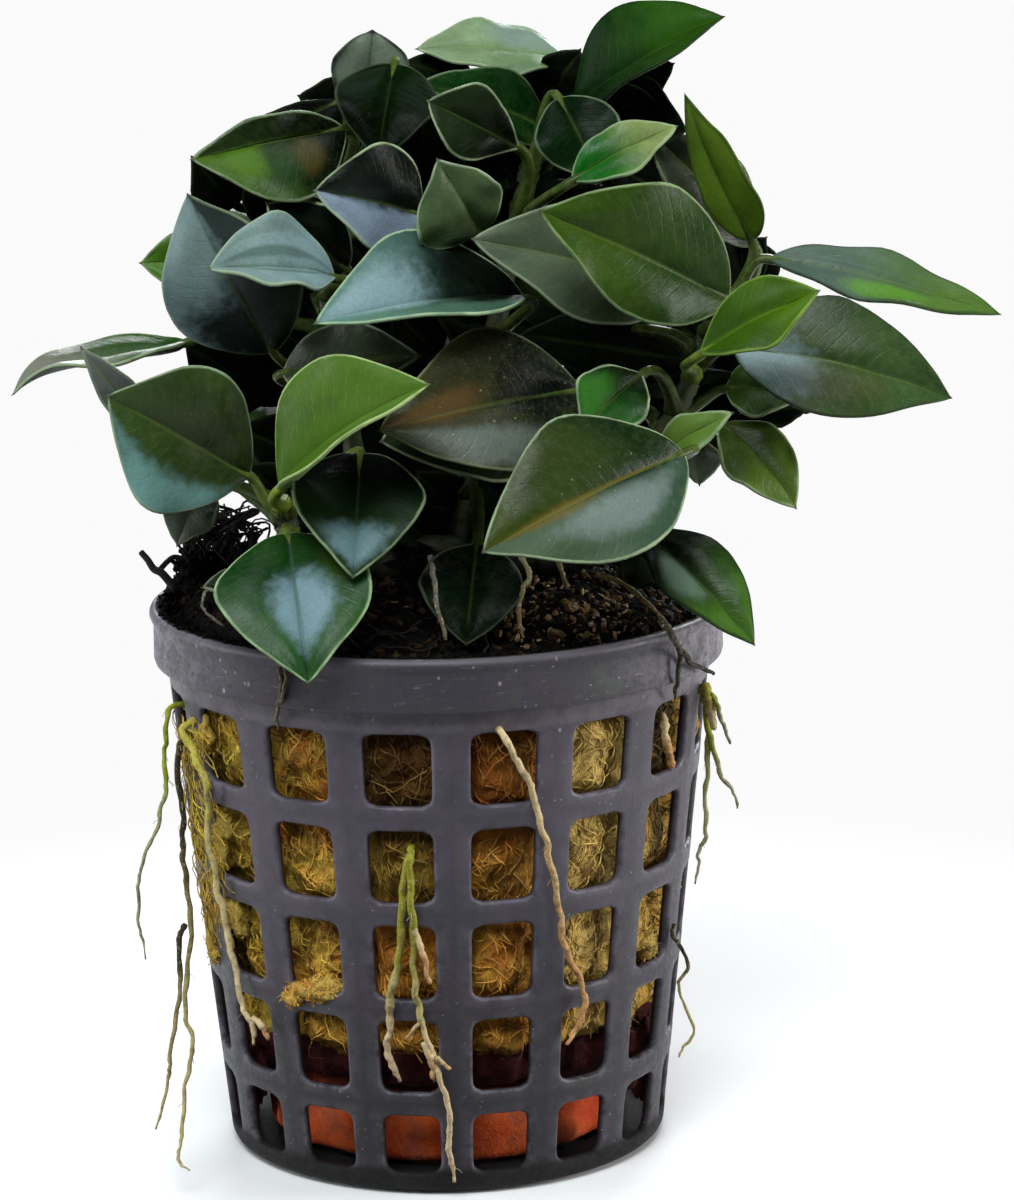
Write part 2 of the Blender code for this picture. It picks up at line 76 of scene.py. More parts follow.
def mound_height(r, angle):
    return min(soil_height(r, angle), 51.0 + (SOIL_COLLAR_R - r) * 1.05)


# ---------------------------------------------------------------- the view
AIM = Vector((6.49, 0.0, 51.21))
DISTANCE, ELEVATION, ROLL, FOCAL_PX = 420.0, radians(12.04), radians(-0.986), 4477.2
FORWARD = Vector((0, cos(ELEVATION), -sin(ELEVATION)))
EYE = AIM - FORWARD * DISTANCE
RIGHT0, UP0 = Vector((1, 0, 0)), Vector((0, sin(ELEVATION), cos(ELEVATION)))
RIGHT = RIGHT0 * cos(ROLL) + UP0 * sin(ROLL)
UP = RIGHT0 * -sin(ROLL) + UP0 * cos(ROLL)


def at_depth(px, py, y):
    """Point at depth y (mm) seen at a place in the 1014 x 1200 picture."""
    d = RIGHT * ((px - 507) / FOCAL_PX) - UP * ((py - 600) / FOCAL_PX) + FORWARD
    return EYE + d * ((y - EYE.y) / d.y)


def at_wall(px, py, off=0.0):
    """Point off mm outside the front of the pot's wall seen at a place in the picture."""
    lo, hi = -40.0, 0.0
    for _ in range(40):
        mid = (lo + hi) / 2
        q = at_depth(px, py, mid)
        if hypot(q.x, q.y) > wall_radius(q.z) + off:
            lo = mid
        else:
            hi = mid
    return at_depth(px, py, lo)


# ---------------------------------------------------------------- node helper
def srgb(r, g, b):
    return tuple(((c / 255) / 12.92 if c / 255 <= 0.04045 else ((c / 255 + 0.055) / 1.055) ** 2.4) for c in (r, g, b))


class Mat:
    def __init__(self, name):
        self.m = bpy.data.materials.new(name)
        self.m.use_nodes = True
        self.t = self.m.node_tree
        self.t.nodes.clear()
        self.out = self.t.nodes.new("ShaderNodeOutputMaterial")
        self.b = self.t.nodes.new("ShaderNodeBsdfPrincipled")
        self.t.links.new(self.b.outputs[0], self.out.inputs[0])
        self._p = None

    def node(self, kind, **props):
        n = self.t.nodes.new(kind)
        for k, v in props.items():
            setattr(n, k, v)
        return n

    def put(self, socket, x):
        if isinstance(x, bpy.types.NodeSocket):
            self.t.links.new(x, socket)
        elif isinstance(x, (tuple, list)) and socket.type == "RGBA":
            socket.default_value = (*x[:3], 1.0)
        else:
            socket.default_value = x

    def math(self, op, a, b=0.0, c=0.0, clamp=False):
        n = self.node("ShaderNodeMath", operation=op, use_clamp=clamp)
        for i, x in enumerate((a, b, c)):
            self.put(n.inputs[i], x)
        return n.outputs[0]

    def add(self, a, b): return self.math("ADD", a, b)
    def sub(self, a, b): return self.math("SUBTRACT", a, b)
    def mul(self, a, b): return self.math("MULTIPLY", a, b)
    def absolute(self, a): return self.math("ABSOLUTE", a)

    def mix(self, fac, a, b, blend="MIX"):
        n = self.node("ShaderNodeMix", data_type="RGBA", blend_type=blend, clamp_factor=True)
        self.put(n.inputs[0], fac)
        self.put(n.inputs[6], a)
        self.put(n.inputs[7], b)
        return n.outputs[2]

    def step(self, x, a, b, lo=0.0, hi=1.0):
        n = self.node("ShaderNodeMapRange", interpolation_type="SMOOTHSTEP")
        for i, v in enumerate((x, a, b, lo, hi)):
            self.put(n.inputs[i], v)
        return n.outputs[0]

    def place(self, sx=1.0, sy=1.0, sz=1.0):
        """Object coordinates in millimetres, stretched."""
        if self._p is None:
            self._p = self.node("ShaderNodeTexCoord").outputs["Object"]
        n = self.node("ShaderNodeVectorMath", operation="MULTIPLY")
        self.put(n.inputs[0], self._p)
        n.inputs[1].default_value = (1000 * sx, 1000 * sy, 1000 * sz)
        return n.outputs[0]

    def noise(self, vec, scale, detail=3.0, rough=0.55, dist=0.0):
        n = self.node("ShaderNodeTexNoise")
        self.put(n.inputs["Vector"], vec)
        n.inputs["Scale"].default_value = scale
        n.inputs["Detail"].default_value = detail
        n.inputs["Roughness"].default_value = rough
        n.inputs["Distortion"].default_value = dist
        return n.outputs[0]

    def cells(self, vec, scale, feature="F1", out="Distance"):
        n = self.node("ShaderNodeTexVoronoi", feature=feature)
        self.put(n.inputs["Vector"], vec)
        n.inputs["Scale"].default_value = scale
        return n.outputs[out]

    def attr(self, name, out="Vector"):
        n = self.node("ShaderNodeAttribute", attribute_name=name)
        return n.outputs[out]

    def split(self, vec):
        n = self.node("ShaderNodeSeparateXYZ")
        self.put(n.inputs[0], vec)
        return n.outputs[0], n.outputs[1], n.outputs[2]

    def join(self, x, y, z):
        n = self.node("ShaderNodeCombineXYZ")
        for i, v in enumerate((x, y, z)):
            self.put(n.inputs[i], v)
        return n.outputs[0]

    def bump(self, height, strength, distance_mm, normal=None):
        n = self.node("ShaderNodeBump")
        n.inputs["Strength"].default_value = strength
        n.inputs["Distance"].default_value = distance_mm * MM
        self.put(n.inputs["Height"], height)
        if normal is not None:
            self.put(n.inputs["Normal"], normal)
        return n.outputs[0]

    def set(self, **k):
        names = {"colour": "Base Color", "rough": "Roughness", "normal": "Normal", "spec": "Specular IOR Level",
                 "coat": "Coat Weight", "coat_rough": "Coat Roughness", "metal": "Metallic", "sheen": "Sheen Weight",
                 "sss": "Subsurface Weight", "sss_scale": "Subsurface Scale", "ior": "IOR"}
        for key, v in k.items():
            self.put(self.b.inputs[names[key]], v)
        return self.m


# ---------------------------------------------------------------- mesh helper
class Bag:
    """Collects vertices (mm), faces and per-vertex marks for one mesh piece."""

    def __init__(self):
        self.v, self.f, self.a, self.c = [], [], [], []

    def add(self, verts, faces, a=None, c=None):
        n = len(self.v)
        self.v.extend(verts)
        self.f.extend([tuple(i + n for i in f) for f in faces])
        self.a.extend(a if a is not None else [(0.0, 0.0, 0.0)] * len(verts))
        self.c.extend(c if c is not None else [(0.0, 0.0, 0.0)] * len(verts))

    def piece(self, name, mat, slot=None, replaces=(), smooth=True, sharp=None):
        me = bpy.data.meshes.new(name)
        me.from_pydata([(p[0] * MM, p[1] * MM, p[2] * MM) for p in self.v], [], self.f)
        for attr, data in (("mark_a", self.a), ("mark_c", self.c)):
            at = me.attributes.new(attr, "FLOAT_VECTOR", "POINT")
            at.data.foreach_set("vector", np.array(data, dtype=np.float32).ravel())
        me.validate()
        me.materials.append(mat)
        if smooth:
            me.shade_smooth()
            if sharp:
                me.set_sharp_from_angle(angle=radians(sharp))
        ob = bpy.data.objects.new(name, me)
        scene.collection.objects.link(ob)
        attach(ob, "root")
        for n in replaces:
            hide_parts(n)
        return ob


def smooth_path(points, per=4):
    p = [Vector(q) for q in points]
    p = [p[0] * 2 - p[1]] + p + [p[-1] * 2 - p[-2]]
    out = []
    for i in range(1, len(p) - 2):
        a, b, c, d = p[i - 1], p[i], p[i + 1], p[i + 2]
        for k in range(per):
            t = k / per
            out.append(0.5 * ((2 * b) + (c - a) * t + (2 * a - 5 * b + 4 * c - d) * t * t + (3 * b - a - 3 * c + d) * t ** 3))
    out.append(p[-2])
    return out


def strand(bag, path, radius, sides=5, mark=(0.0, 0.0), squash=1.0, first=None, close=True):
    """Tube along a path. radius is a number or a function of 0..1; marks hold (along, value, value)."""
    m = len(path)
    nrm = first
    verts, a = [], []
    for i, q in enumerate(path):
        t = (path[min(i + 1, m - 1)] - path[max(i - 1, 0)]).normalized()
        if nrm is None:
            ref = Vector((0, 0, 1)) if abs(t.z) < 0.8 else Vector((1, 0, 0))
            nrm = ref
        nrm = (nrm - t * nrm.dot(t)).normalized()
        side = t.cross(nrm)
        s = i / (m - 1)
        r = radius(s) if callable(radius) else radius
        for k in range(sides):
            g = 2 * pi * k / sides
            verts.append(q + side * (r * cos(g)) + nrm * (r * squash * sin(g)))
            a.append((s, mark[0], mark[1]))
    faces = []
    for i in range(m - 1):
        for k in range(sides):
            j = (k + 1) % sides
            faces.append((i * sides + k, i * sides + j, (i + 1) * sides + j, (i + 1) * sides + k))
    if close:
        faces.append(tuple(range(sides))[::-1])
        faces.append(tuple((m - 1) * sides + k for k in range(sides)))
    bag.add(verts, faces, a)


# ---------------------------------------------------------------- finishes
def pot_finish():
    m = Mat("moulded_grey_plastic")
    p = m.place()
    x, y, z = m.split(p)
    cloud = m.noise(p, 0.16, 4.0, 0.6)
    mid = m.noise(p, 0.55, 5.0, 0.65)
    fine = m.noise(p, 1.8, 4.0, 0.6)
    col = m.mix(m.step(cloud, 0.35, 0.68), srgb(61, 58, 66), srgb(79, 70, 81))
    col = m.mix(m.mul(m.step(mid, 0.52, 0.70), 0.45), col, srgb(62, 68, 72))
    # painted light on the collar: paler towards its left and right ends (flank), and painted shade darkening the middle
    # between them
    collar = m.step(z, 44.6, 46.6)
    flank = m.step(m.absolute(m.add(x, 1.0)), 15.0, 26.0)
    col = m.mix(m.mul(collar, m.mul(m.step(mid, 0.38, 0.62, 0.2, 0.9), m.add(m.mul(flank, 0.95), 0.06))), col, srgb(136, 130, 138))
    col = m.mix(m.mul(collar, m.mul(m.sub(1.0, flank), 0.62)), col, srgb(42, 38, 44))
    # painted shade: darker towards the bottom of the pot
    col = m.mix(m.mul(m.step(m.add(z, m.mul(mid, 6.0)), 37.0, 13.0), 0.84), col, srgb(18, 16, 18))
    col = m.mix(m.mul(collar, m.mul(m.step(fine, 0.50, 0.68), 0.7)), col, srgb(46, 45, 49))
    # lime specks, short scuffs and a green film left by standing water
    where = m.step(m.noise(p, 0.30, 2.0), 0.50, 0.62)
    speck = m.mul(m.step(m.cells(m.place(1.0, 1.0, 1.4), 0.95), 0.17, 0.05), where)
    dot = m.mul(m.step(m.cells(m.place(1.3, 1.3, 1.0), 0.50), 0.15, 0.06), m.mul(m.step(z, 36.0, 46.0), m.step(m.noise(p, 0.2, 2.0), 0.40, 0.55)))
    scuff = m.mul(m.step(m.noise(m.place(0.45, 0.45, 2.6), 1.1, 5.0, 0.7), 0.60, 0.70), m.step(z, 40.0, 48.0))
    green = m.mul(m.step(m.noise(p, 0.24, 3.0, 0.6, 0.5), 0.56, 0.70), m.step(z, 30.0, 47.0, 0.15, 0.4))
    col = m.mix(green, col, srgb(66, 78, 62))
    smudge = m.mul(m.step(m.noise(m.place(0.55, 0.55, 1.0), 0.75, 5.0, 0.7), 0.66, 0.73), m.step(z, 45.8, 46.8))
    col = m.mix(m.mul(smudge, 0.55), col, srgb(150, 148, 152))
    col = m.mix(m.mul(speck, 0.55), col, srgb(160, 156, 164))
    col = m.mix(m.mul(dot, 0.7), col, srgb(186, 182, 186))
    col = m.mix(m.mul(scuff, 0.40), col, srgb(150, 144, 150))
    # paler bands: wear at the step under the collar, and a paler line along the top of the lip
    col = m.mix(m.mul(m.mul(m.mul(m.step(z, 44.3, 45.0), m.step(z, 46.8, 46.4)), m.step(mid, 0.35, 0.6, 0.4, 1.0)), 0.6), col, srgb(118, 112, 120))
    col = m.mix(m.mul(m.step(z, 50.9, 51.3), 0.30), col, srgb(128, 122, 130))
    # paler on the rounded edges of the windows
    window_rim = m.split(m.attr("mark_a"))[0]
    col = m.mix(m.mul(m.mul(window_rim, m.step(mid, 0.35, 0.6)), 0.42), col, srgb(136, 130, 142))
    # the inner wall is darkened: stained by the wet fill, and painted shade in the window reveals
    inner_stain_and_shade = m.step(m.math("SQRT", m.add(m.mul(x, x), m.mul(y, y))), m.add(m.mul(z, 0.1054), BASE_R - 0.45), m.add(m.mul(z, 0.1054), BASE_R - 0.75))
    col = m.mix(m.mul(m.mul(inner_stain_and_shade, m.step(z, 46.0, 45.0)), 0.8), col, srgb(22, 14, 12))
    # soil smeared up the inner side of the collar
    rad = m.math("SQRT", m.add(m.mul(x, x), m.mul(y, y)))
    smear = m.mul(m.step(m.add(rad, m.mul(m.sub(mid, 0.5), 0.5)), RIM_R - 0.45, RIM_R - 0.70), m.step(z, 49.6, 49.9))
    smear = m.math("MAXIMUM", smear, m.mul(m.step(rad, COLLAR_IN_R + 0.55, COLLAR_IN_R + 0.25), m.step(z, 46.4, 46.8)))
    col = m.mix(m.mul(smear, 0.94), col, srgb(9, 8, 8))
    # painted shade: the foot is painted black along the pot's lower edge
    foot = m.step(m.add(z, m.mul(mid, 0.8)), 3.5, 2.3)
    col = m.mix(foot, col, srgb(7, 6, 7))
    rough = m.add(m.step(m.add(m.mul(cloud, 0.4), m.mul(fine, 0.6)), 0.3, 0.7, 0.38, 0.62), m.add(m.mul(foot, 0.3), m.mul(smear, 0.5)))
    h = m.add(m.mul(fine, 0.5), m.add(m.mul(m.noise(p, 5.0, 2.0), 0.3), m.add(m.mul(speck, 0.6), m.mul(mid, 0.5))))
    return m.set(colour=col, rough=rough, normal=m.bump(h, 0.40, 0.16), spec=0.34)


def clay_finish():
    m = Mat("terracotta")
    p = m.place()
    n1, n2, n3 = m.noise(p, 0.25, 4.0), m.noise(p, 1.4, 5.0, 0.65), m.noise(p, 6.0, 3.0)
    col = m.mix(m.step(n1, 0.35, 0.65), srgb(192, 66, 28), srgb(218, 98, 34))
    col = m.mix(m.mul(m.step(n2, 0.5, 0.7), 0.6), col, srgb(166, 54, 34))
    col = m.mix(m.mul(m.step(n3, 0.6, 0.75), 0.5), col, srgb(222, 140, 90))
    x, y, z = m.split(p)
    col = m.mix(m.mul(m.step(n1, 0.52, 0.62), 0.6), col, srgb(150, 74, 58))
    # painted shade: darker at the bottom of the block
    col = m.mix(m.step(m.add(z, m.mul(n2, 1.6)), 3.4, 2.0), col, srgb(22, 8, 6))
    # painted shade: darker along the top, under the plug
    col = m.mix(m.mul(m.step(m.add(z, m.mul(n2, 1.2)), 8.2, 9.2), 0.7), col, srgb(60, 18, 12))
    h = m.add(n2, m.mul(n3, 0.5))
    return m.set(colour=col, rough=m.step(n2, 0.3, 0.7, 0.8, 0.95), normal=m.bump(h, 0.6, 0.35), spec=0.3)


def wool_finish(name, fibre=False, pale=0.0):
    m = Mat(name)
    p = m.place()
    big = m.noise(p, 0.13, 3.0, 0.6)
    mid = m.noise(m.place(0.8, 0.8, 1.2), 0.5, 5.0, 0.72, 0.8)
    streak = m.noise(m.place(1.2, 1.2, 0.6), 1.7, 5.0, 0.75, 1.5)
    x, y, z = m.split(p)
    col = m.mix(m.step(big, 0.38, 0.62), srgb(228, 140, 48), srgb(248, 206, 84))
    col = m.mix(m.mul(m.step(mid, 0.50, 0.70), 0.7), col, srgb(206, 176, 72))
    # painted light: brighter and yellower on the right; yellower lower down, and at the far left where it has stayed
    # drier
    col = m.mix(m.mul(m.step(x, 3.0, 12.0), 0.85), col, srgb(255, 212, 112))
    col = m.mix(m.mul(m.step(z, 25.0, 15.0), 0.55), col, srgb(255, 196, 74))
    col = m.mix(m.mul(m.step(x, -13.0, -18.0), 0.55), col, srgb(214, 200, 70))
    col = m.mix(m.mul(m.step(streak, 0.54, 0.70), 0.55), col, srgb(244, 214, 130))
    col = m.mix(m.step(streak, 0.46, 0.33), col, srgb(96, 52, 16))
    col = m.mix(m.mul(m.step(mid, 0.45, 0.32), 0.9), col, srgb(132, 64, 22))
    wet = m.mul(m.mul(m.step(m.absolute(m.sub(x, 0.5)), 10.0, 6.5), m.step(z, 29.0, 37.0)), 0.82)
    col = m.mix(wet, col, srgb(70, 32, 12))
    col = m.mix(m.mul(m.mul(m.step(m.absolute(m.add(x, 2.6)), 5.5, 3.5), m.step(z, 26.0, 29.0)), 0.40), col, srgb(84, 48, 20))
    # painted light: the window column right of centre made brighter
    col = m.mix(m.mul(m.mul(m.step(x, 10.5, 12.5), m.step(x, 19.0, 17.5)), 0.50), col, srgb(255, 226, 140))
    col = m.mix(m.mul(m.mul(m.step(m.absolute(m.sub(x, 6.0)), 4.8, 3.2), m.step(y, 4.0, -4.0)), 0.42), col, srgb(222, 126, 44))
    # painted shade: a near-black pocket in the wool at the right front
    pocket_shade = m.mul(m.step(m.add(x, m.mul(m.sub(mid, 0.5), 2.0)), 18.7, 20.0), m.step(y, -7.0, -9.0))
    col = m.mix(m.mul(pocket_shade, 0.93), col, srgb(24, 12, 8))
    # ragged dark foot: wet wool, with painted shade in the gap above the clay
    col = m.mix(m.step(m.add(z, m.mul(m.sub(mid, 0.5), 5.0)), DARK_FOOT_LINE + 0.5, DARK_FOOT_LINE - 0.5), col, srgb(64, 12, 12))
    if pale:
        col = m.mix(m.mul(m.step(streak, 0.3, 0.6, 0.5, 1.0), pale), col, srgb(232, 202, 108))
    if fibre:
        along, v, w = m.split(m.attr("mark_a"))
        col = m.mix(m.mul(v, 0.45), col, srgb(204, 176, 104))
        col = m.mix(m.mul(w, 0.8), col, srgb(52, 30, 10))
        return m.set(colour=col, rough=m.step(mid, 0.3, 0.7, 0.6, 0.85), spec=0.25, normal=m.bump(streak, 0.2, 0.05))
    h = m.add(m.mul(streak, 0.9), m.mul(mid, 0.8))
    return m.set(colour=col, rough=m.step(streak, 0.3, 0.7, 0.75, 0.95), normal=m.bump(h, 0.9, 0.8), spec=0.2)


def soil_finish(name, light=0.0):
    m = Mat(name)
    p = m.place()
    n1, n2 = m.noise(p, 0.5, 4.0, 0.7), m.noise(p, 2.5, 4.0, 0.7)
    col = m.mix(m.step(n1, 0.4, 0.65), srgb(5, 4, 4), srgb(17, 13, 10))
    col = m.mix(m.mul(m.step(n2, 0.58, 0.75), 0.35), col, srgb(44, 32, 20))
    if light:
        v = m.split(m.attr("mark_a"))[1]
        col = m.mix(m.mul(v, light), col, srgb(128, 98, 60))
    return m.set(colour=col, rough=m.step(n2, 0.3, 0.7, 0.75, 0.95), normal=m.bump(m.add(n1, n2), 0.8, 0.4), spec=0.08)


def bark_finish(name, c0, c1, c2):
    m = Mat(name)
    p = m.place()
    n1, n2 = m.noise(p, 0.8, 4.0, 0.7), m.noise(m.place(1, 1, 3), 3.0, 3.0, 0.6)
    col = m.mix(m.step(n1, 0.4, 0.62), srgb(*c0), srgb(*c1))
    col = m.mix(m.mul(m.step(n2, 0.5, 0.7), 0.6), col, srgb(*c2))
    return m.set(colour=col, rough=m.step(n2, 0.3, 0.7, 0.6, 0.85), normal=m.bump(m.add(n1, n2), 0.6, 0.2), spec=0.15)


def stem_finish():
    m = Mat("green_rhizome")
    p = m.place()
    z = m.split(p)[2]
    n1, n2 = m.noise(p, 0.35, 4.0, 0.6), m.noise(p, 2.2, 4.0, 0.6)
    col = m.mix(m.step(n1, 0.4, 0.62), srgb(30, 40, 14), srgb(56, 66, 26))
    col = m.mix(m.mul(m.step(n2, 0.55, 0.72), 0.7), col, srgb(58, 42, 22))
    col = m.mix(m.mul(m.step(z, 62.0, 56.0), 0.7), col, srgb(22, 18, 10))
    return m.set(colour=col, rough=m.step(n2, 0.3, 0.7, 0.4, 0.7), normal=m.bump(m.add(n1, n2), 0.5, 0.25), spec=0.4)


def root_finish(name, top, low, dark=0.25):
    m = Mat(name)
    p = m.place()
    along = m.split(m.attr("mark_a"))[0]
    n1, n2 = m.noise(p, 0.5, 3.0, 0.6), m.noise(p, 3.0, 4.0, 0.7)
    col = m.mix(m.step(m.add(along, m.mul(m.sub(n1, 0.5), 0.5)), 0.25, 0.7), srgb(*top), srgb(*low))
    n3 = m.noise(p, 1.1, 4.0, 0.7)
    col = m.mix(m.mul(m.step(n3, 0.50, 0.62), dark), col, srgb(84, 58, 26))
    col = m.mix(m.mul(m.step(n2, 0.52, 0.70), 0.35), col, srgb(240, 226, 190))
    col = m.mix(m.mul(m.step(n2, 0.44, 0.32), 0.5), col, srgb(66, 46, 22))
    return m.set(colour=col, rough=m.step(n2, 0.3, 0.7, 0.5, 0.75), normal=m.bump(m.add(n2, n3), 0.7, 0.16), spec=0.2)


BLACK_GREEN = srgb(6, 12, 6)


def leaf_finish(name, look):
    """Thick waxy leaf. mark_a holds (along, across -1..1, distance from the margin in mm);
    mark_c holds (distance from the midrib in mm, side: 1 upper, 0 lower, 2 stalk, half width in mm)."""
    m = Mat(name)
    p = m.place()
    u, t, d = m.split(m.attr("mark_a"))
    x, side, w = m.split(m.attr("mark_c"))
    s = m.absolute(t)
    big = m.noise(p, 0.22, 3.0, 0.55)
    mid = m.noise(p, 0.9, 4.0, 0.6)
    fine = m.noise(p, 4.0, 4.0, 0.65)
    base, tip = look.get("base", (34, 62, 30)), look.get("tip", None) or look.get("base", (40, 72, 34))
    mott = look.get("mottle", min(1.0, max(0.12, (max(base) + max(tip) - 40) / 110)))
    uu = m.add(u, m.mul(m.sub(big, 0.5), 0.35))
    col = m.mix(m.step(uu, 0.25, 0.8), srgb(*base), srgb(*tip))
    # one half of the blade, by the sign of across, takes its own colour: in the looks this mostly paints light on one
    # half and shade on the other
    for sign, key in ((-1.0, "minus"), (1.0, "plus")):
        if key in look:
            c, amount = look[key]
            col = m.mix(m.mul(m.step(m.add(m.mul(t, sign), m.mul(m.sub(mid, 0.5), 0.3)), 0.0, 0.28), amount), col, srgb(*c))
    col = m.mix(m.mul(m.step(mid, 0.42, 0.66), 0.28 * mott), col, m.mix(0.5, col, srgb(92, 104, 52)))
    col = m.mix(m.mul(m.step(big, 0.55, 0.36), 0.35), col, m.mix(0.6, col, srgb(14, 30, 16)))
    # soft patches in blade coordinates: some are the leaf's own colour (brown marks, greener bases), others are painted
    # reflections (pale blue-grey) and painted shade (near-black)
    for (pu, pt, ru, rt, c, amount) in look.get("patches", ()):
        du = m.mul(m.sub(u, pu), 1.0 / ru)
        dt = m.mul(m.sub(t, pt), 1.0 / rt)
        r = m.math("SQRT", m.add(m.mul(du, du), m.mul(dt, dt)))
        r = m.add(r, m.mul(m.sub(mid, 0.5), 0.7))
        mask = m.mul(m.step(r, 1.15, 0.45), amount)
        col = m.mix(mask, col, srgb(*c))
    col = m.mix(m.mul(m.step(fine, 0.40, 0.60), 0.16), col, m.mix(0.7, col, BLACK_GREEN))
    col = m.mix(m.mul(m.step(m.noise(p, 2.0, 3.0, 0.6), 0.52, 0.66), 0.18 * mott), col, m.mix(0.5, col, srgb(120, 132, 84)))
    # side veins: fine lines that leave the midrib and curve towards the tip
    q = m.mul(m.sub(u, m.mul(m.math("POWER", s, 1.35), 0.20)), look.get("veins", 15.0))
    q = m.add(q, m.mul(m.sub(mid, 0.5), 0.5))
    line = m.math("PINGPONG", q, 0.5)
    vein = m.step(line, 0.12, 0.0)
    vein = m.mul(vein, m.step(s, 1.0, 0.8))
    col = m.mix(m.mul(vein, look.get("vein", 0.05) * mott), col, m.mix(0.6, col, srgb(150, 170, 120)))
    # midrib
    rib = m.step(x, 0.42, 0.10)
    rib_c = srgb(*look.get("rib_colour", (92, 112, 52)))
    col = m.mix(m.mul(m.mul(rib, m.step(u, 1.0, 0.75)), look.get("rib", 0.15 + 0.3 * mott)), col, rib_c)
    # dust and algae
    dots = m.mul(m.step(m.cells(p, 1.1), 0.16, 0.05), m.step(mid, 0.5, 0.62))
    col = m.mix(m.mul(dots, look.get("dots", 0.25 * mott)), col, srgb(150, 150, 120))
    col = m.mix(m.mul(m.step(fine, 0.56, 0.72), look.get("dirt", 0.12 * mott)), col, srgb(96, 84, 52))
    # pale rolled margin
    edge = m.step(m.add(d, m.mul(m.sub(mid, 0.5), 0.3)), look.get("edge_mm", 0.30), 0.07)
    edge = m.mul(edge, m.step(m.noise(p, 0.45, 2.0), 0.34, 0.58, 0.5, 1.0))
    col = m.mix(m.mul(edge, look.get("edge", 0.72)), col, srgb(*look.get("edge_colour", (158, 178, 138))))
    # underside and stalk
    under = m.mix(m.step(mid, 0.4, 0.65), srgb(*look.get("under", (34, 50, 26))), srgb(*look.get("under_2", (50, 66, 38))))
    under = m.mix(m.mul(edge, look.get("under_edge", 0.4)), under, srgb(140, 156, 120))
    col = m.mix(m.step(side, 0.42, 0.58), under, col)
    stalk = m.mix(m.step(mid, 0.4, 0.65), srgb(*look.get("stalk", (52, 68, 26))), srgb(*look.get("stalk_2", (78, 92, 40))))
    col = m.mix(m.step(side, 1.4, 1.6), col, stalk)
    # blackened very tip
    col = m.mix(m.mul(m.step(u, 0.975, 1.0), 0.8), col, srgb(40, 34, 20))
    rough = m.step(m.add(m.mul(mid, 0.6), m.mul(fine, 0.4)), 0.35, 0.65, look.get("rough", 0.26), look.get("rough", 0.26) + 0.16)
    rough = m.add(rough, m.mul(edge, 0.15))
    h = m.add(m.mul(vein, -0.16), m.add(m.mul(fine, 0.25), m.mul(mid, 0.9)))
    mat = m.set(colour=col, rough=rough, normal=m.bump(h, 0.45, 0.14), spec=look.get("spec", 0.16))
    return mat


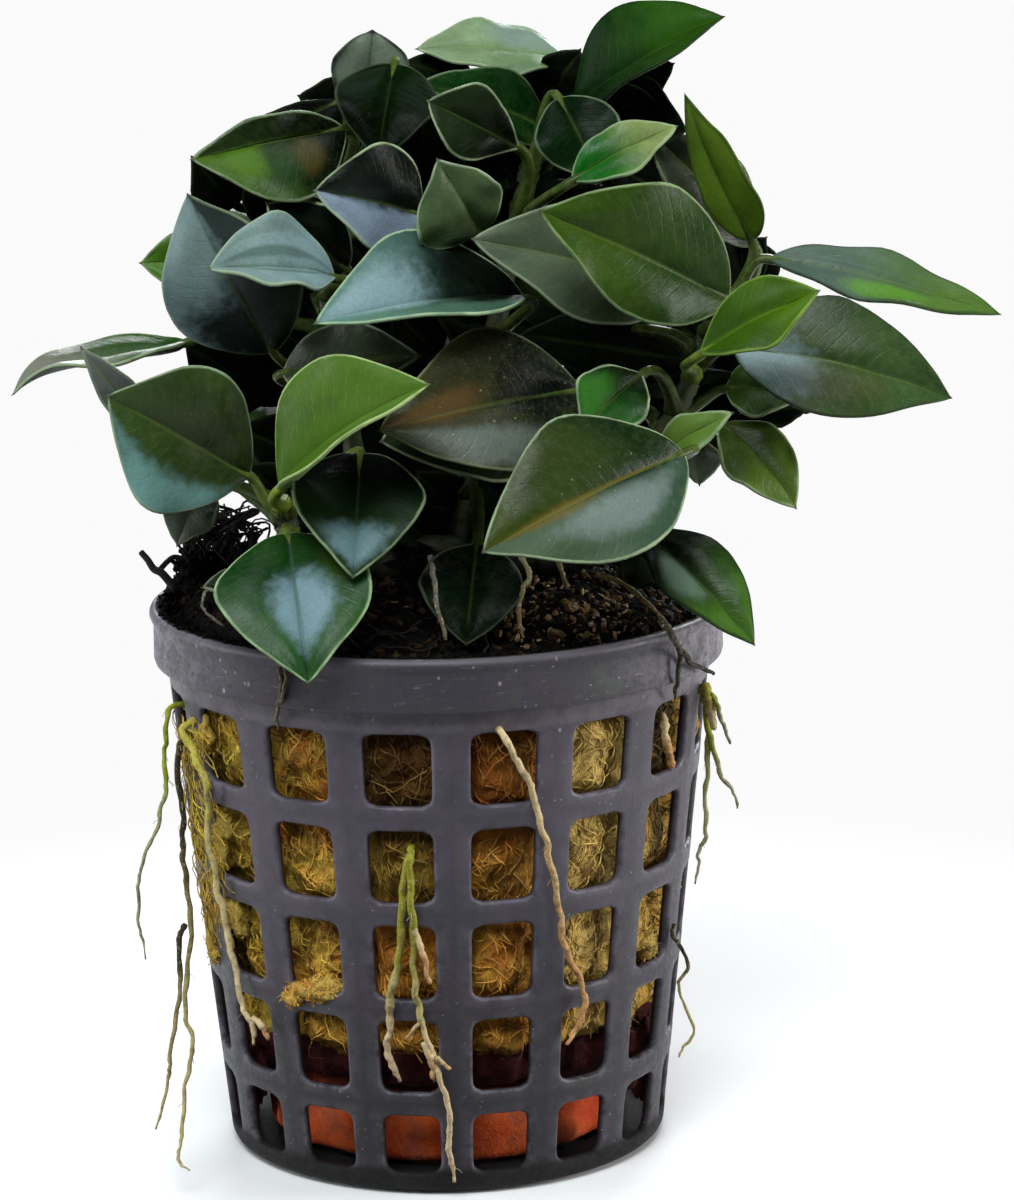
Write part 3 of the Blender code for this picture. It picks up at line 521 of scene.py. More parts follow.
# ---------------------------------------------------------------- net pot
def build_pot(mat):
    bag = Bag()
    pitch = 360.0 / COLUMNS
    half = pitch / 2
    wf = (WINDOW_DEG / 2) / half                     # window half width as a share of the cell's
    side_a = [-1.0, -0.82, -wf, -0.42, -0.2, 0.0, 0.2, 0.42, wf, 0.82]
    side_z = [-1.0, -0.8, -0.6, -0.4, -0.2, 0.0, 0.2, 0.4, 0.6, 0.8]
    around = [(a, -1.0) for a in side_a] + [(1.0, z) for z in side_z] + [(-a, 1.0) for a in side_a] + [(-1.0, -z) for z in side_z]
    n = len(around)
    bands = [1.2]
    for (a0, a1), (b0, b1) in zip(WINDOW_ROWS[:-1], WINDOW_ROWS[1:]):
        bands.append((a1 + b0) / 2)
    bands.append(COLLAR_Z)

    def outline(ca, cz, ha, hz, zm, grow, rad):
        """Rounded window outline, in degrees and mm; grow in mm."""
        mm_deg = wall_radius(zm) * pi / 180
        W, H = ha * mm_deg + grow, hz + grow
        out = []
        for (a, z) in around:
            # the square's boundary mapped onto the window's rectangle, side by side
            if abs(a) == 1.0 and abs(z) == 1.0:
                x, y = a * W, z * H
            elif abs(z) == 1.0:
                x, y = max(-1.0, min(1.0, a / wf)) * W if abs(a) <= wf else (1 if a > 0 else -1) * W, z * H
                if abs(a) > wf:
                    x = (1 if a > 0 else -1) * (W - 0.0)
            else:
                x, y = a * W, z * H
            qx, qy = max(-W + rad, min(W - rad, x)), max(-H + rad, min(H - rad, y))
            dx, dy = x - qx, y - qy
            L = hypot(dx, dy)
            if L > 1e-6:
                x, y = qx + dx / L * rad, qy + dy / L * rad
            out.append((ca + x / mm_deg, cz + y))
        return out

    def spread(line):
        """Return the points as vectors."""
        pts = [Vector((p[0], p[1])) for p in line]
        return pts

    for k in range(COLUMNS):
        ca = COLUMN_0_DEG + k * pitch
        for r, (z0, z1) in enumerate(WINDOW_ROWS):
            b0, b1 = bands[r], bands[r + 1]
            cz, hz = (z0 + z1) / 2, (z1 - z0) / 2
            cell = [(ca + a * half, (b0 + b1) / 2 + z * (b1 - b0) / 2) for a, z in around]
            ha = WINDOW_DEG / 2
            rings = [(cell, 0.0),
                     (outline(ca, cz, ha, hz, cz, 0.34, 1.25), 0.0),
                     (outline(ca, cz, ha, hz, cz, 0.12, 1.10), -0.07),
                     (outline(ca, cz, ha, hz, cz, 0.0, 1.0), -0.26),
                     (outline(ca, cz, ha, hz, cz, 0.0, 1.0), -WALL_T + 0.24),
                     (outline(ca, cz, ha, hz, cz, 0.14, 1.1), -WALL_T + 0.06),
                     (outline(ca, cz, ha, hz, cz, 0.34, 1.25), -WALL_T),
                     (cell, -WALL_T)]
            verts, faces, marks = [], [], []
            for (line, off), window_rim in zip(rings, (0.0, 0.35, 1.0, 0.7, 0.0, 0.0, 0.0, 0.0)):
                for a, z in line:
                    verts.append(on_wall(a, z, off))
                    marks.append((window_rim, 0.0, 0.0))
            for q in range(len(rings) - 1):
                for i in range(n):
                    j = (i + 1) % n
                    faces.append((q * n + i, q * n + j, (q + 1) * n + j, (q + 1) * n + i))
            bag.add(verts, faces, marks)

    # turned part: collar, lip, and the rounded foot with the floor
    angles = []
    for k in range(COLUMNS):
        for a in side_a:
            angles.append(COLUMN_0_DEG + k * pitch + a * half)
    nn = len(angles)

    def turned(profile, close=False, skip=None):
        verts, faces = [], []
        for r, z in profile:
            for a in angles:
                verts.append(Vector((r * sin(radians(a)), -r * cos(radians(a)), z)))
        for q in range(len(profile) - 1):
            for i in range(nn):
                if skip and skip(q, i):
                    continue
                j = (i + 1) % nn
                faces.append((q * nn + i, q * nn + j, (q + 1) * nn + j, (q + 1) * nn + i))
        bag.add(verts, faces)

    lip = [(WALL_TOP_R, COLLAR_Z), (WALL_TOP_R + 0.5, COLLAR_Z - 0.02), (COLLAR_R - 0.35, COLLAR_Z + 0.02), (COLLAR_R - 0.08, COLLAR_Z + 0.16),
           (COLLAR_R, COLLAR_Z + 0.45), (COLLAR_R - 0.02, 48.4), (COLLAR_R - 0.04, 50.0), (COLLAR_R + 0.02, 50.35), (RIM_R - 0.12, 50.6), (RIM_R, 50.9),
           (RIM_R, 51.15), (RIM_R - 0.12, 51.42), (RIM_R - 0.38, 51.58), (RIM_R - 0.75, POT_H), (RIM_R - 1.1, 51.54), (RIM_R - 1.38, 51.3),
           (COLLAR_IN_R + 0.05, 50.8), (COLLAR_IN_R - 0.2, 49.6), (WALL_TOP_R - WALL_T + 0.1, 47.2), (WALL_TOP_R - WALL_T, COLLAR_Z)]
    turned(lip)
    foot = [(wall_radius(1.2), 1.2), (BASE_R + 0.08, 0.9), (BASE_R - 0.08, 0.55), (BASE_R - 0.45, 0.22), (BASE_R - 1.0, 0.05), (BASE_R - 1.5, 0.0),
            (FLOOR_SLOT_R[1], 0.0), (FLOOR_SLOT_R[0], 0.0), (0.02, 0.0)]
    window = [abs(((i % 10) - 5) / 5.0) < 0.61 and (2 <= i % 10 < 8) for i in range(nn)]
    turned(foot, skip=lambda q, i: q == 6 and window[i])
    floor = [(wall_radius(1.2) - WALL_T, 1.2), (FLOOR_SLOT_R[1], FLOOR_T), (FLOOR_SLOT_R[0], FLOOR_T), (0.02, FLOOR_T)]
    turned(floor, skip=lambda q, i: q == 1 and window[i])
    for i in range(nn):
        j = (i + 1) % nn
        a0, a1 = radians(angles[i]), radians(angles[j])
        if window[i]:
            for r in FLOOR_SLOT_R:
                q = [Vector((r * sin(a), -r * cos(a), z)) for a, z in ((a0, 0), (a1, 0), (a1, FLOOR_T), (a0, FLOOR_T))]
                bag.add(q, [(0, 1, 2, 3)])
            for here, other, a in ((i, (i - 1) % nn, a0), (j, j, a1)):
                if here == i and window[other]:
                    continue
                if here == j and window[j]:
                    continue
                q = [Vector((r * sin(a), -r * cos(a), z)) for r, z in ((FLOOR_SLOT_R[0], 0), (FLOOR_SLOT_R[1], 0), (FLOOR_SLOT_R[1], FLOOR_T), (FLOOR_SLOT_R[0], FLOOR_T))]
                bag.add(q, [(0, 1, 2, 3)])
    ob = bag.piece("net_pot_moulding", mat, "pot_plastic", ["net_pot"])
    import bmesh
    bm = bmesh.new()
    bm.from_mesh(ob.data)
    bmesh.ops.remove_doubles(bm, verts=bm.verts, dist=0.004 * MM)
    bmesh.ops.dissolve_degenerate(bm, edges=bm.edges, dist=0.002 * MM)
    bmesh.ops.recalc_face_normals(bm, faces=bm.faces)
    bm.to_mesh(ob.data)
    bm.free()
    ob.data.shade_smooth()
    ob.data.set_sharp_from_angle(angle=radians(50))
    return ob


# ---------------------------------------------------------------- fill
def rough_ring(name, profile, mat, slot, node, amp, seed, n=120, scale=0.35):
    """Ring turned from a closed profile, roughened by noise."""
    bag = Bag()
    m = len(profile)
    verts, faces = [], []
    for r, z in profile:
        for i in range(n):
            a = 2 * pi * i / n
            q = Vector((r * sin(a), -r * cos(a), z))
            k = noise.noise(q * scale + Vector((seed, 0, 0))) + 0.5 * noise.noise(q * scale * 3 + Vector((0, seed, 0)))
            rr = r - amp * (0.6 + k) * min(1.0, r / 3)
            verts.append(Vector((rr * sin(a), -rr * cos(a), z + 0.25 * amp * k)))
    for q in range(m):
        for i in range(n):
            j = (i + 1) % n
            faces.append((q * n + i, q * n + j, ((q + 1) % m) * n + j, ((q + 1) % m) * n + i))
    bag.add(verts, faces)
    return bag.piece(name, mat, slot, [node] if node else ())


def lump(bag, c, et, er, wide, deep, tall, rough=1.0):
    """Knobbly clot around a point; returns its vertices."""
    verts, faces = [], []
    rows, n = 16, 24
    for j in range(rows + 1):
        th = pi * j / rows
        for i in range(n):
            ph = 2 * pi * i / n
            q = c + et * (sin(th) * cos(ph) * wide) + er * (sin(th) * sin(ph) * deep) + Vector((0, 0, cos(th) * tall))
            verts.append(c + (q - c) * (1 + rough * (0.45 * noise.noise(q * 0.8) + 0.30 * noise.noise(q * 2.1) + 0.16 * noise.noise(q * 4.5))))
    for j in range(rows):
        for i in range(n):
            k = (i + 1) % n
            faces.append((j * n + i, j * n + k, (j + 1) * n + k, (j + 1) * n + i))
    bag.add(verts, faces)
    return verts


def build_wool(mat, fibre_mat):
    rng = random.Random(5)
    bag = Bag()
    n, rows = 240, 96
    verts, faces = [], []

    def surface(a, z):
        """Radius of the plug's rough side at an angle (rad) and height."""
        q = Vector((sin(a) * 20, -cos(a) * 20, z))
        da = ((degrees(a) - COLUMN_0_DEG + 11.25) % 22.5 - 11.25) / 8.6
        lo, hi = min(WINDOW_ROWS[1:], key=lambda w: abs((w[0] + w[1]) / 2 - z))
        dz = (z - (lo + hi) / 2) / ((hi - lo) / 2 + 0.8)
        swell = max(0.0, 1 - da ** 4) * max(0.0, 1 - dz ** 4)
        base = wall_radius(z) - WALL_T - 2.0 + 1.4 * swell
        k = 0.85 * noise.noise(q * 0.22) + 0.6 * noise.noise(q * 0.6 + Vector((9, 0, 0))) + 0.35 * noise.noise(q * 1.6)
        return base + min(0.9, 1.1 * k)

    for j in range(rows + 1):
        s = j / rows
        for i in range(n):
            a = 2 * pi * i / n
            flank = min(1.0, max(0.0, (abs((degrees(a) + 180) % 360 - 180) - 56) / 8))
            low = PLUG_BOTTOM + 0.1 - flank * (4.2 + 1.6 * noise.noise(Vector((sin(a) * 7, cos(a) * 7, 6.0)))) + 0.2 * noise.noise(Vector((sin(a) * 9, cos(a) * 9, 1.0)))
            edge = DARK_FOOT_LINE + 1.5 * noise.noise(Vector((sin(a) * 3.4, cos(a) * 3.4, 4.0))) + 1.0 * noise.noise(Vector((sin(a) * 9, cos(a) * 9, 1.0)))
            z = low + (PLUG_TOP - low) * s
            r = surface(a, z)
            k = max(0.0, min(1.0, (edge + 0.4 - z) / 0.8))
            side = min(1.0, max(0.0, (abs((degrees(a) + 180) % 360 - 180) - 50) / 14))
            r -= (1.3 - 0.9 * side) * k * k * (3 - 2 * k)
            verts.append(Vector((r * sin(a), -r * cos(a), z)))
    for j in range(rows):
        for i in range(n):
            k = (i + 1) % n
            faces.append((j * n + i, j * n + k, (j + 1) * n + k, (j + 1) * n + i))
    faces.append(tuple(range(n))[::-1])
    faces.append(tuple(rows * n + i for i in range(n)))
    bag.add(verts, faces)
    bag.piece("rockwool_body", mat, "rockwool", ["rockwool_plug"])

    def fibre(bag, a, z, length, lean, lift, r, shade):
        pts = []
        steps = 5
        heading = lean
        for i in range(steps + 1):
            s = i / steps
            rad = min(surface(a, min(max(z, 14), 45)) + 0.05 + lift * 4 * s * (1 - s), wall_radius(z) + 0.9)
            pts.append(Vector((rad * sin(a), -rad * cos(a), z)))
            heading += rng.uniform(-0.45, 0.45)
            a += length / steps * cos(heading) / 22
            z += length / steps * sin(heading)
            z = min(max(z, 12.2), 45.3)
        strand(bag, pts, r, 3, shade, close=False)

    pitch = 360 / COLUMNS
    for part in range(2):
        bag = Bag()
        for k in range(COLUMNS):
            for r in range(1, 5):
                z0, z1 = WINDOW_ROWS[r]
                for _ in range(48):
                    a = radians(COLUMN_0_DEG + k * pitch + rng.uniform(-9, 9))
                    z = rng.uniform(z0 - 1.0, z1 + 1.0)
                    if z < 13.6:
                        continue
                    lean = rng.choice((1.57, 1.2, 2.0, 0.9, -1.3, 2.4)) + rng.uniform(-0.5, 0.5)
                    fibre(bag, a, z, rng.uniform(1.2, 3.6), lean, rng.uniform(0.0, 0.6), rng.uniform(0.03, 0.10),
                          (rng.random() ** 3, rng.random() ** 2))
        bag.piece("rockwool_fibres_%d" % (part + 1), fibre_mat, "rockwool")
    # clots of wool that bulge out of the windows, each with loose fibres
    clots, bag = Bag(), Bag()
    for a0, z0, wide, tall, deep, out in ((-76.0, 29.6, 0.9, 1.1, 0.8, 0.0), (-72.0, 21.6, 1.1, 1.7, 0.9, 0.1), (-69.0, 19.6, 0.8, 0.7, 0.7, 0.4), (-33.0, 18.9, 2.3, 0.85, 0.9, 0.15), (-62.0, 41.5, 1.4, 1.8, 0.8, -0.2), (-60.5, 31.0, 1.2, 2.4, 0.7, 0.0),
                                          (-36.6, 18.3, 1.2, 0.7, 0.8, 0.6), (-29.0, 19.6, 1.8, 1.0, 1.0, -0.5), (-60.0, 33.0, 1.6, 1.6, 0.9, -0.4), (-58.5, 24.5, 1.6, 2.0, 0.9, -0.5),
                                          (60.0, 20.6, 1.2, 1.2, 0.9, -0.6), (105.0, 30.6, 1.8, 1.4, 1.0, -0.1), (150.0, 21.6, 2.0, 1.2, 1.0, 0.0), (-120.0, 31.0, 1.8, 1.5, 1.0, -0.1),
                                          (-142.0, 13.6, 2.0, 1.0, 1.0, -0.2), (172.0, 39.6, 1.8, 1.4, 1.0, -0.3)):
        c = on_wall(a0, z0, out - 0.5)
        er = Vector((sin(radians(a0)), -cos(radians(a0)), 0))
        et = Vector((cos(radians(a0)), sin(radians(a0)), 0))
        verts = lump(clots, c, et, er, wide, deep, tall)
        for _ in range(int(90 * wide)):
            v = rng.choice(verts)
            d = (v - c).normalized()
            if d.dot(er) < -0.2:
                continue
            pts = [v - d * 0.2]
            for i in range(4):
                d = (d * 0.4 + Vector((rng.uniform(-1, 1), rng.uniform(-1, 1), rng.uniform(-1, 1))) * 0.8).normalized()
                pts.append(pts[-1] + d * rng.uniform(0.12, 0.34))
            strand(bag, pts, rng.uniform(0.03, 0.07), 3, (rng.random(), rng.random() ** 3 * 0.3), close=False)
    wet = Bag()
    for k in range(32):
        a0 = -180 + 11.25 * k
        if abs((a0 + 180) % 360 - 180) < 62:
            continue
        er = Vector((sin(radians(a0)), -cos(radians(a0)), 0))
        et = Vector((cos(radians(a0)), sin(radians(a0)), 0))
        lump(wet, on_wall(a0, rng.uniform(7.4, 8.8), -2.1), et, er, 2.3, 0.75, rng.uniform(2.2, 3.6), 0.8)
        if k % 2:
            lump(wet, on_wall(a0 + 4, rng.uniform(3.8, 5.0), -2.1), et, er, 1.7, 0.6, 1.8, 0.9)
    wet.piece("rockwool_wet_shreds", wool_finish("rockwool_wet"), "rockwool")
    for _ in range(170):
        a0, z = rng.uniform(-73, -58), rng.uniform(24, 43.5)
        heading = rng.choice((-1.57, -1.3, -1.8)) + rng.uniform(-0.5, 0.5)
        pts, off = [], rng.uniform(0.1, 0.7)
        for i in range(6):
            pts.append(on_wall(a0, z, off + 0.25 * sin(i * 1.1)))
            heading += rng.uniform(-0.5, 0.5)
            a0 += degrees(0.75 * cos(heading) / 23)
            z += 0.75 * sin(heading)
        strand(bag, pts, rng.uniform(0.03, 0.09), 3, (rng.random() * 0.6, rng.random() ** 4 * 0.4), close=False)
    clots.piece("rockwool_clots", wool_finish("rockwool_clot", False, 0.75), "rockwool")
    bag.piece("rockwool_loose_fibres", fibre_mat, "rockwool")


def chunk(bag, centre, size, rng, flat=1.0, mark=0.0):
    """Small angular grain: a squashed, jittered icosahedron."""
    g = (1 + sqrt(5)) / 2
    raw = [(-1, g, 0), (1, g, 0), (-1, -g, 0), (1, -g, 0), (0, -1, g), (0, 1, g), (0, -1, -g), (0, 1, -g), (g, 0, -1), (g, 0, 1), (-g, 0, -1), (-g, 0, 1)]
    tri = [(0, 11, 5), (0, 5, 1), (0, 1, 7), (0, 7, 10), (0, 10, 11), (1, 5, 9), (5, 11, 4), (11, 10, 2), (10, 7, 6), (7, 1, 8),
           (3, 9, 4), (3, 4, 2), (3, 2, 6), (3, 6, 8), (3, 8, 9), (4, 9, 5), (2, 4, 11), (6, 2, 10), (8, 6, 7), (9, 8, 1)]
    turn = Matrix.Rotation(rng.uniform(0, 2 * pi), 3, Vector((rng.uniform(-1, 1), rng.uniform(-1, 1), rng.uniform(-1, 1)))) if rng.random() < 2 else None
    sx, sy, sz = rng.uniform(0.6, 1.3), rng.uniform(0.5, 1.0), rng.uniform(0.5, 0.9) * flat
    verts = []
    for v in raw:
        p = Vector(v).normalized() * rng.uniform(0.75, 1.2)
        p = turn @ Vector((p.x * sx, p.y * sy, p.z * sz))
        verts.append(centre + p * size)
    bag.add(verts, tri, [(0.0, mark, 0.0)] * 12)


def build_soil(mat, grain_mat, bark_mat, dark_mat):
    rng = random.Random(11)
    bag = Bag()
    n, rings = 120, 34
    verts, faces = [], []
    for j in range(rings + 1):
        r = SOIL_COLLAR_R * (1 - j / rings)
        for i in range(n):
            a = 360.0 * i / n
            z = mound_height(r, a)
            q = Vector((r * sin(radians(a)), -r * cos(radians(a)), z))
            k = noise.noise(q * 0.5) * 0.6 + noise.noise(q * 1.4 + Vector((3, 0, 0))) * 0.35
            verts.append(q + Vector((0, 0, k if j > 0 else k * 0.3)))
    for j in range(rings):
        for i in range(n):
            k = (i + 1) % n
            faces.append((j * n + i, j * n + k, (j + 1) * n + k, (j + 1) * n + i))
    skirt = len(verts)
    for i in range(n):
        a = radians(360.0 * i / n)
        verts.append(Vector(((SOIL_COLLAR_R - 0.5) * sin(a), -(SOIL_COLLAR_R - 0.5) * cos(a), SOIL_BOTTOM)))
    for i in range(n):
        k = (i + 1) % n
        faces.append((skirt + i, skirt + k, k, i))
    faces.append(tuple(skirt + i for i in range(n))[::-1])
    bag.add(verts, faces)
    bag.piece("soil_mound", mat, "soil", ["soil"])
    # clods banked up at the left
    bag = Bag()
    for px, py, y, wide, deep, tall in ((212, 590, 1, 2.6, 3.0, 1.0), (186, 588, 3, 1.6, 2.2, 1.0), (230, 576, 1, 2.4, 2.6, 1.2), (202, 570, 3, 1.5, 1.8, 1.1), (252, 562, -1, 2.2, 2.6, 1.4),
                                        (222, 562, 0, 1.5, 2.0, 1.2), (187, 568, -2, 0.9, 2.2, 0.8), (196, 557, -1, 1.2, 2.2, 0.9), (430, 566, -13, 3.2, 3.0, 1.2), (300, 566, -8, 3.0, 3.0, 1.5)):
        lump(bag, at_depth(px, py, y), Vector((1, 0, 0)), Vector((0, -1, 0)), wide, deep, tall, 1.5)
    crumbs = random.Random(21)
    for v in list(bag.v):
        if crumbs.random() < 0.22:
            chunk(bag, v, 0.15 + 0.35 * crumbs.random() ** 2, crumbs)
    for k in range(1700):
        a = crumbs.uniform(0, 360)
        left = max(0.0, cos(radians(a + 85)))
        r = crumbs.uniform(24.2, 25.9 + 0.45 * left)
        z = min(51.55, 50.5 + 1.30 * max(0.0, r - 25.0)) + crumbs.uniform(-0.15, 0.12)
        if r < 25.0:
            z = 50.75 + (25.0 - r) * 0.8 + crumbs.uniform(-0.1, 0.3)
        size = 0.16 + 0.30 * crumbs.random() ** 2
        chunk(bag, Vector((r * sin(radians(a)), -r * cos(radians(a)), z)), size, crumbs)
    bag.piece("soil_clods", mat, "soil", sharp=40)

    bag = Bag()
    for _ in range(2600):
        r = SOIL_COLLAR_R * sqrt(rng.random()) * 0.985
        a = rng.uniform(0, 360)
        z = mound_height(r, a)
        q = Vector((r * sin(radians(a)), -r * cos(radians(a)), z + rng.uniform(-0.1, 0.5)))
        right = 1.0 if (q.x > 4 and q.y < 0) else 0.25
        chunk(bag, q, 0.20 + 0.5 * rng.random() ** 2.5, rng, 1.0, (rng.random() ** 3) * right)
    bag.piece("soil_grains", grain_mat, "soil", smooth=False)
    # bark and husk bits, mostly to the right
    bag = Bag()
    for k in range(260):
        if k < 200:
            a = rng.uniform(20, 66)
        else:
            a = rng.uniform(0, 360)
        r = SOIL_COLLAR_R * rng.uniform(0.45, 0.97)
        z = mound_height(r, a) + rng.uniform(0.1, 0.9)
        q = Vector((r * sin(radians(a)), -r * cos(radians(a)), z))
        chunk(bag, q, rng.uniform(0.16, 0.55), rng, 0.4, 0.0)
    bag.piece("bark_bits", bark_mat, "soil", smooth=False)
    # dead dark rootlets over the soil, and the loose tangle that stands up at the left
    bag = Bag()
    for k in range(150):
        a = rng.uniform(0, 360)
        r = SOIL_COLLAR_R * sqrt(rng.uniform(0.1, 0.9))
        pts = []
        heading = rng.uniform(0, 2 * pi)
        x, y = r * sin(radians(a)), -r * cos(radians(a))
        for i in range(7):
            rr, aa = hypot(x, y), degrees(atan2(x, -y))
            if rr > SOIL_COLLAR_R * 0.97:
                break
            pts.append(Vector((x, y, mound_height(rr, aa) + 0.35 + 0.5 * rng.random())))
            heading += rng.uniform(-0.7, 0.7)
            x += 0.9 * cos(heading)
            y += 0.9 * sin(heading)
        if len(pts) > 2:
            strand(bag, smooth_path(pts, 2), rng.uniform(0.05, 0.13), 4)
    for k in range(46):
        p0 = at_depth(rng.uniform(182, 262), rng.uniform(534, 556), rng.uniform(-8, 3))
        p3 = at_depth(rng.uniform(196, 268), rng.uniform(502, 532), rng.uniform(-8, 2))
        mid1 = p0.lerp(p3, 0.33) + Vector((rng.uniform(-2.4, 2.4), rng.uniform(-1, 1), rng.uniform(-0.8, 1.6)))
        mid2 = p0.lerp(p3, 0.7) + Vector((rng.uniform(-2.4, 2.4), rng.uniform(-1, 1), rng.uniform(-0.8, 1.2)))
        strand(bag, smooth_path([p0 - Vector((0, 0, 1)), mid1, mid2, p3], 4), rng.uniform(0.06, 0.20), 5)
    for k in range(60):
        q = at_depth(rng.uniform(184, 262), rng.uniform(524, 556), rng.uniform(-7, 2))
        chunk(bag, q, rng.uniform(0.2, 0.6), rng)
    # bent black twig at the left of the lip
    strand(bag, smooth_path([at_depth(141, 552, -3), at_depth(148, 560, -3.5), at_depth(154, 569, -4), at_depth(163, 574, -4.5), at_depth(176, 590, -5)], 4),
           lambda s: 0.3 + 0.12 * s, 7)
    strand(bag, smooth_path([at_depth(158, 572, -4), at_depth(167, 562, -3.5), at_depth(175, 557, -3), at_depth(186, 560, -3)], 4), 0.26, 6)
    bag.piece("dead_rootlets", dark_mat, "soil")


# ---------------------------------------------------------------- rhizome and branches
STEMS = {
    "rhizome": (((-13.0, -6.0, 56.6), (-6.0, -5.2, 56.3), (1.0, -4.2, 56.6), (8.0, -3.2, 56.0), (14.0, -3.0, 55.8)), 1.9, 1.7),
    "stem_left": (((-12.6, -9.7, 57.8), (-13.4, -11.3, 60.8), (-13.9, -12.6, 63.6)), 1.2, 0.9),
    "stem_right": (((17.0, -3.4, 57.8), (20.0, -3.6, 65.0), (23.6, -3.4, 72.0), (26.0, -3.2, 79.0)), 1.3, 0.8),
    "stem_top": (((3.0, -3.6, 60.4), (4.5, -1.2, 70.0), (7.0, 0.8, 82.0), (9.5, 2.0, 93.0)), 1.3, 0.8),
    "stem_upper_left": (((-6.0, -4.6, 60.0), (-8.0, -2.6, 70.0), (-9.5, -0.8, 81.0), (-8.5, 1.2, 91.0)), 1.3, 0.8),
    "stem_back": (((1.0, -0.2, 58.4), (1.0, 5.0, 64.0), (0.6, 8.6, 74.0), (0.6, 10.0, 84.0)), 1.3, 0.8),
}
STEM_FOOT = {"stem_left": (-12.0, -6.5, 56.6), "stem_right": (13.4, -3.0, 55.9), "stem_top": (2.5, -4.0, 56.6), "stem_upper_left": (-5.5, -5.1, 56.4),
             "stem_back": (1.0, -3.6, 56.6)}


def stem_point(name, u):
    pts, r0, r1 = STEMS[name]
    path = smooth_path(pts, 6)
    x = u * (len(path) - 1)
    i = min(int(x), len(path) - 2)
    return path[i].lerp(path[i + 1], x - i), (path[i + 1] - path[i]).normalized(), r0 + (r1 - r0) * u


def build_stems(mat):
    for name, (pts, r0, r1) in STEMS.items():
        full = ([STEM_FOOT[name]] if name in STEM_FOOT else []) + list(pts)
        path = smooth_path(full, 14)
        bag = Bag()

        def radius(s):
            ring = 0.16 * max(0.0, cos(2 * pi * s * (11 if name == "rhizome" else 13))) ** 6
            end = sqrt(max(0.02, 1 - max(0.0, (s - 0.94) / 0.06) ** 2))
            start = sqrt(max(0.02, 1 - max(0.0, (0.05 - s) / 0.05) ** 2)) if name == "rhizome" else 1.0
            return (r0 + (r1 - r0) * s) * end * start + ring
        strand(bag, path, radius, 16)
        verts = [v + Vector((noise.noise(v * 0.9), noise.noise(v * 0.9 + Vector((7, 0, 0))), noise.noise(v * 0.9 + Vector((0, 7, 0))))) * 0.22 for v in bag.v]
        bag.v = verts
        bag.piece(name + "_bark", mat, "rhizome", [name])


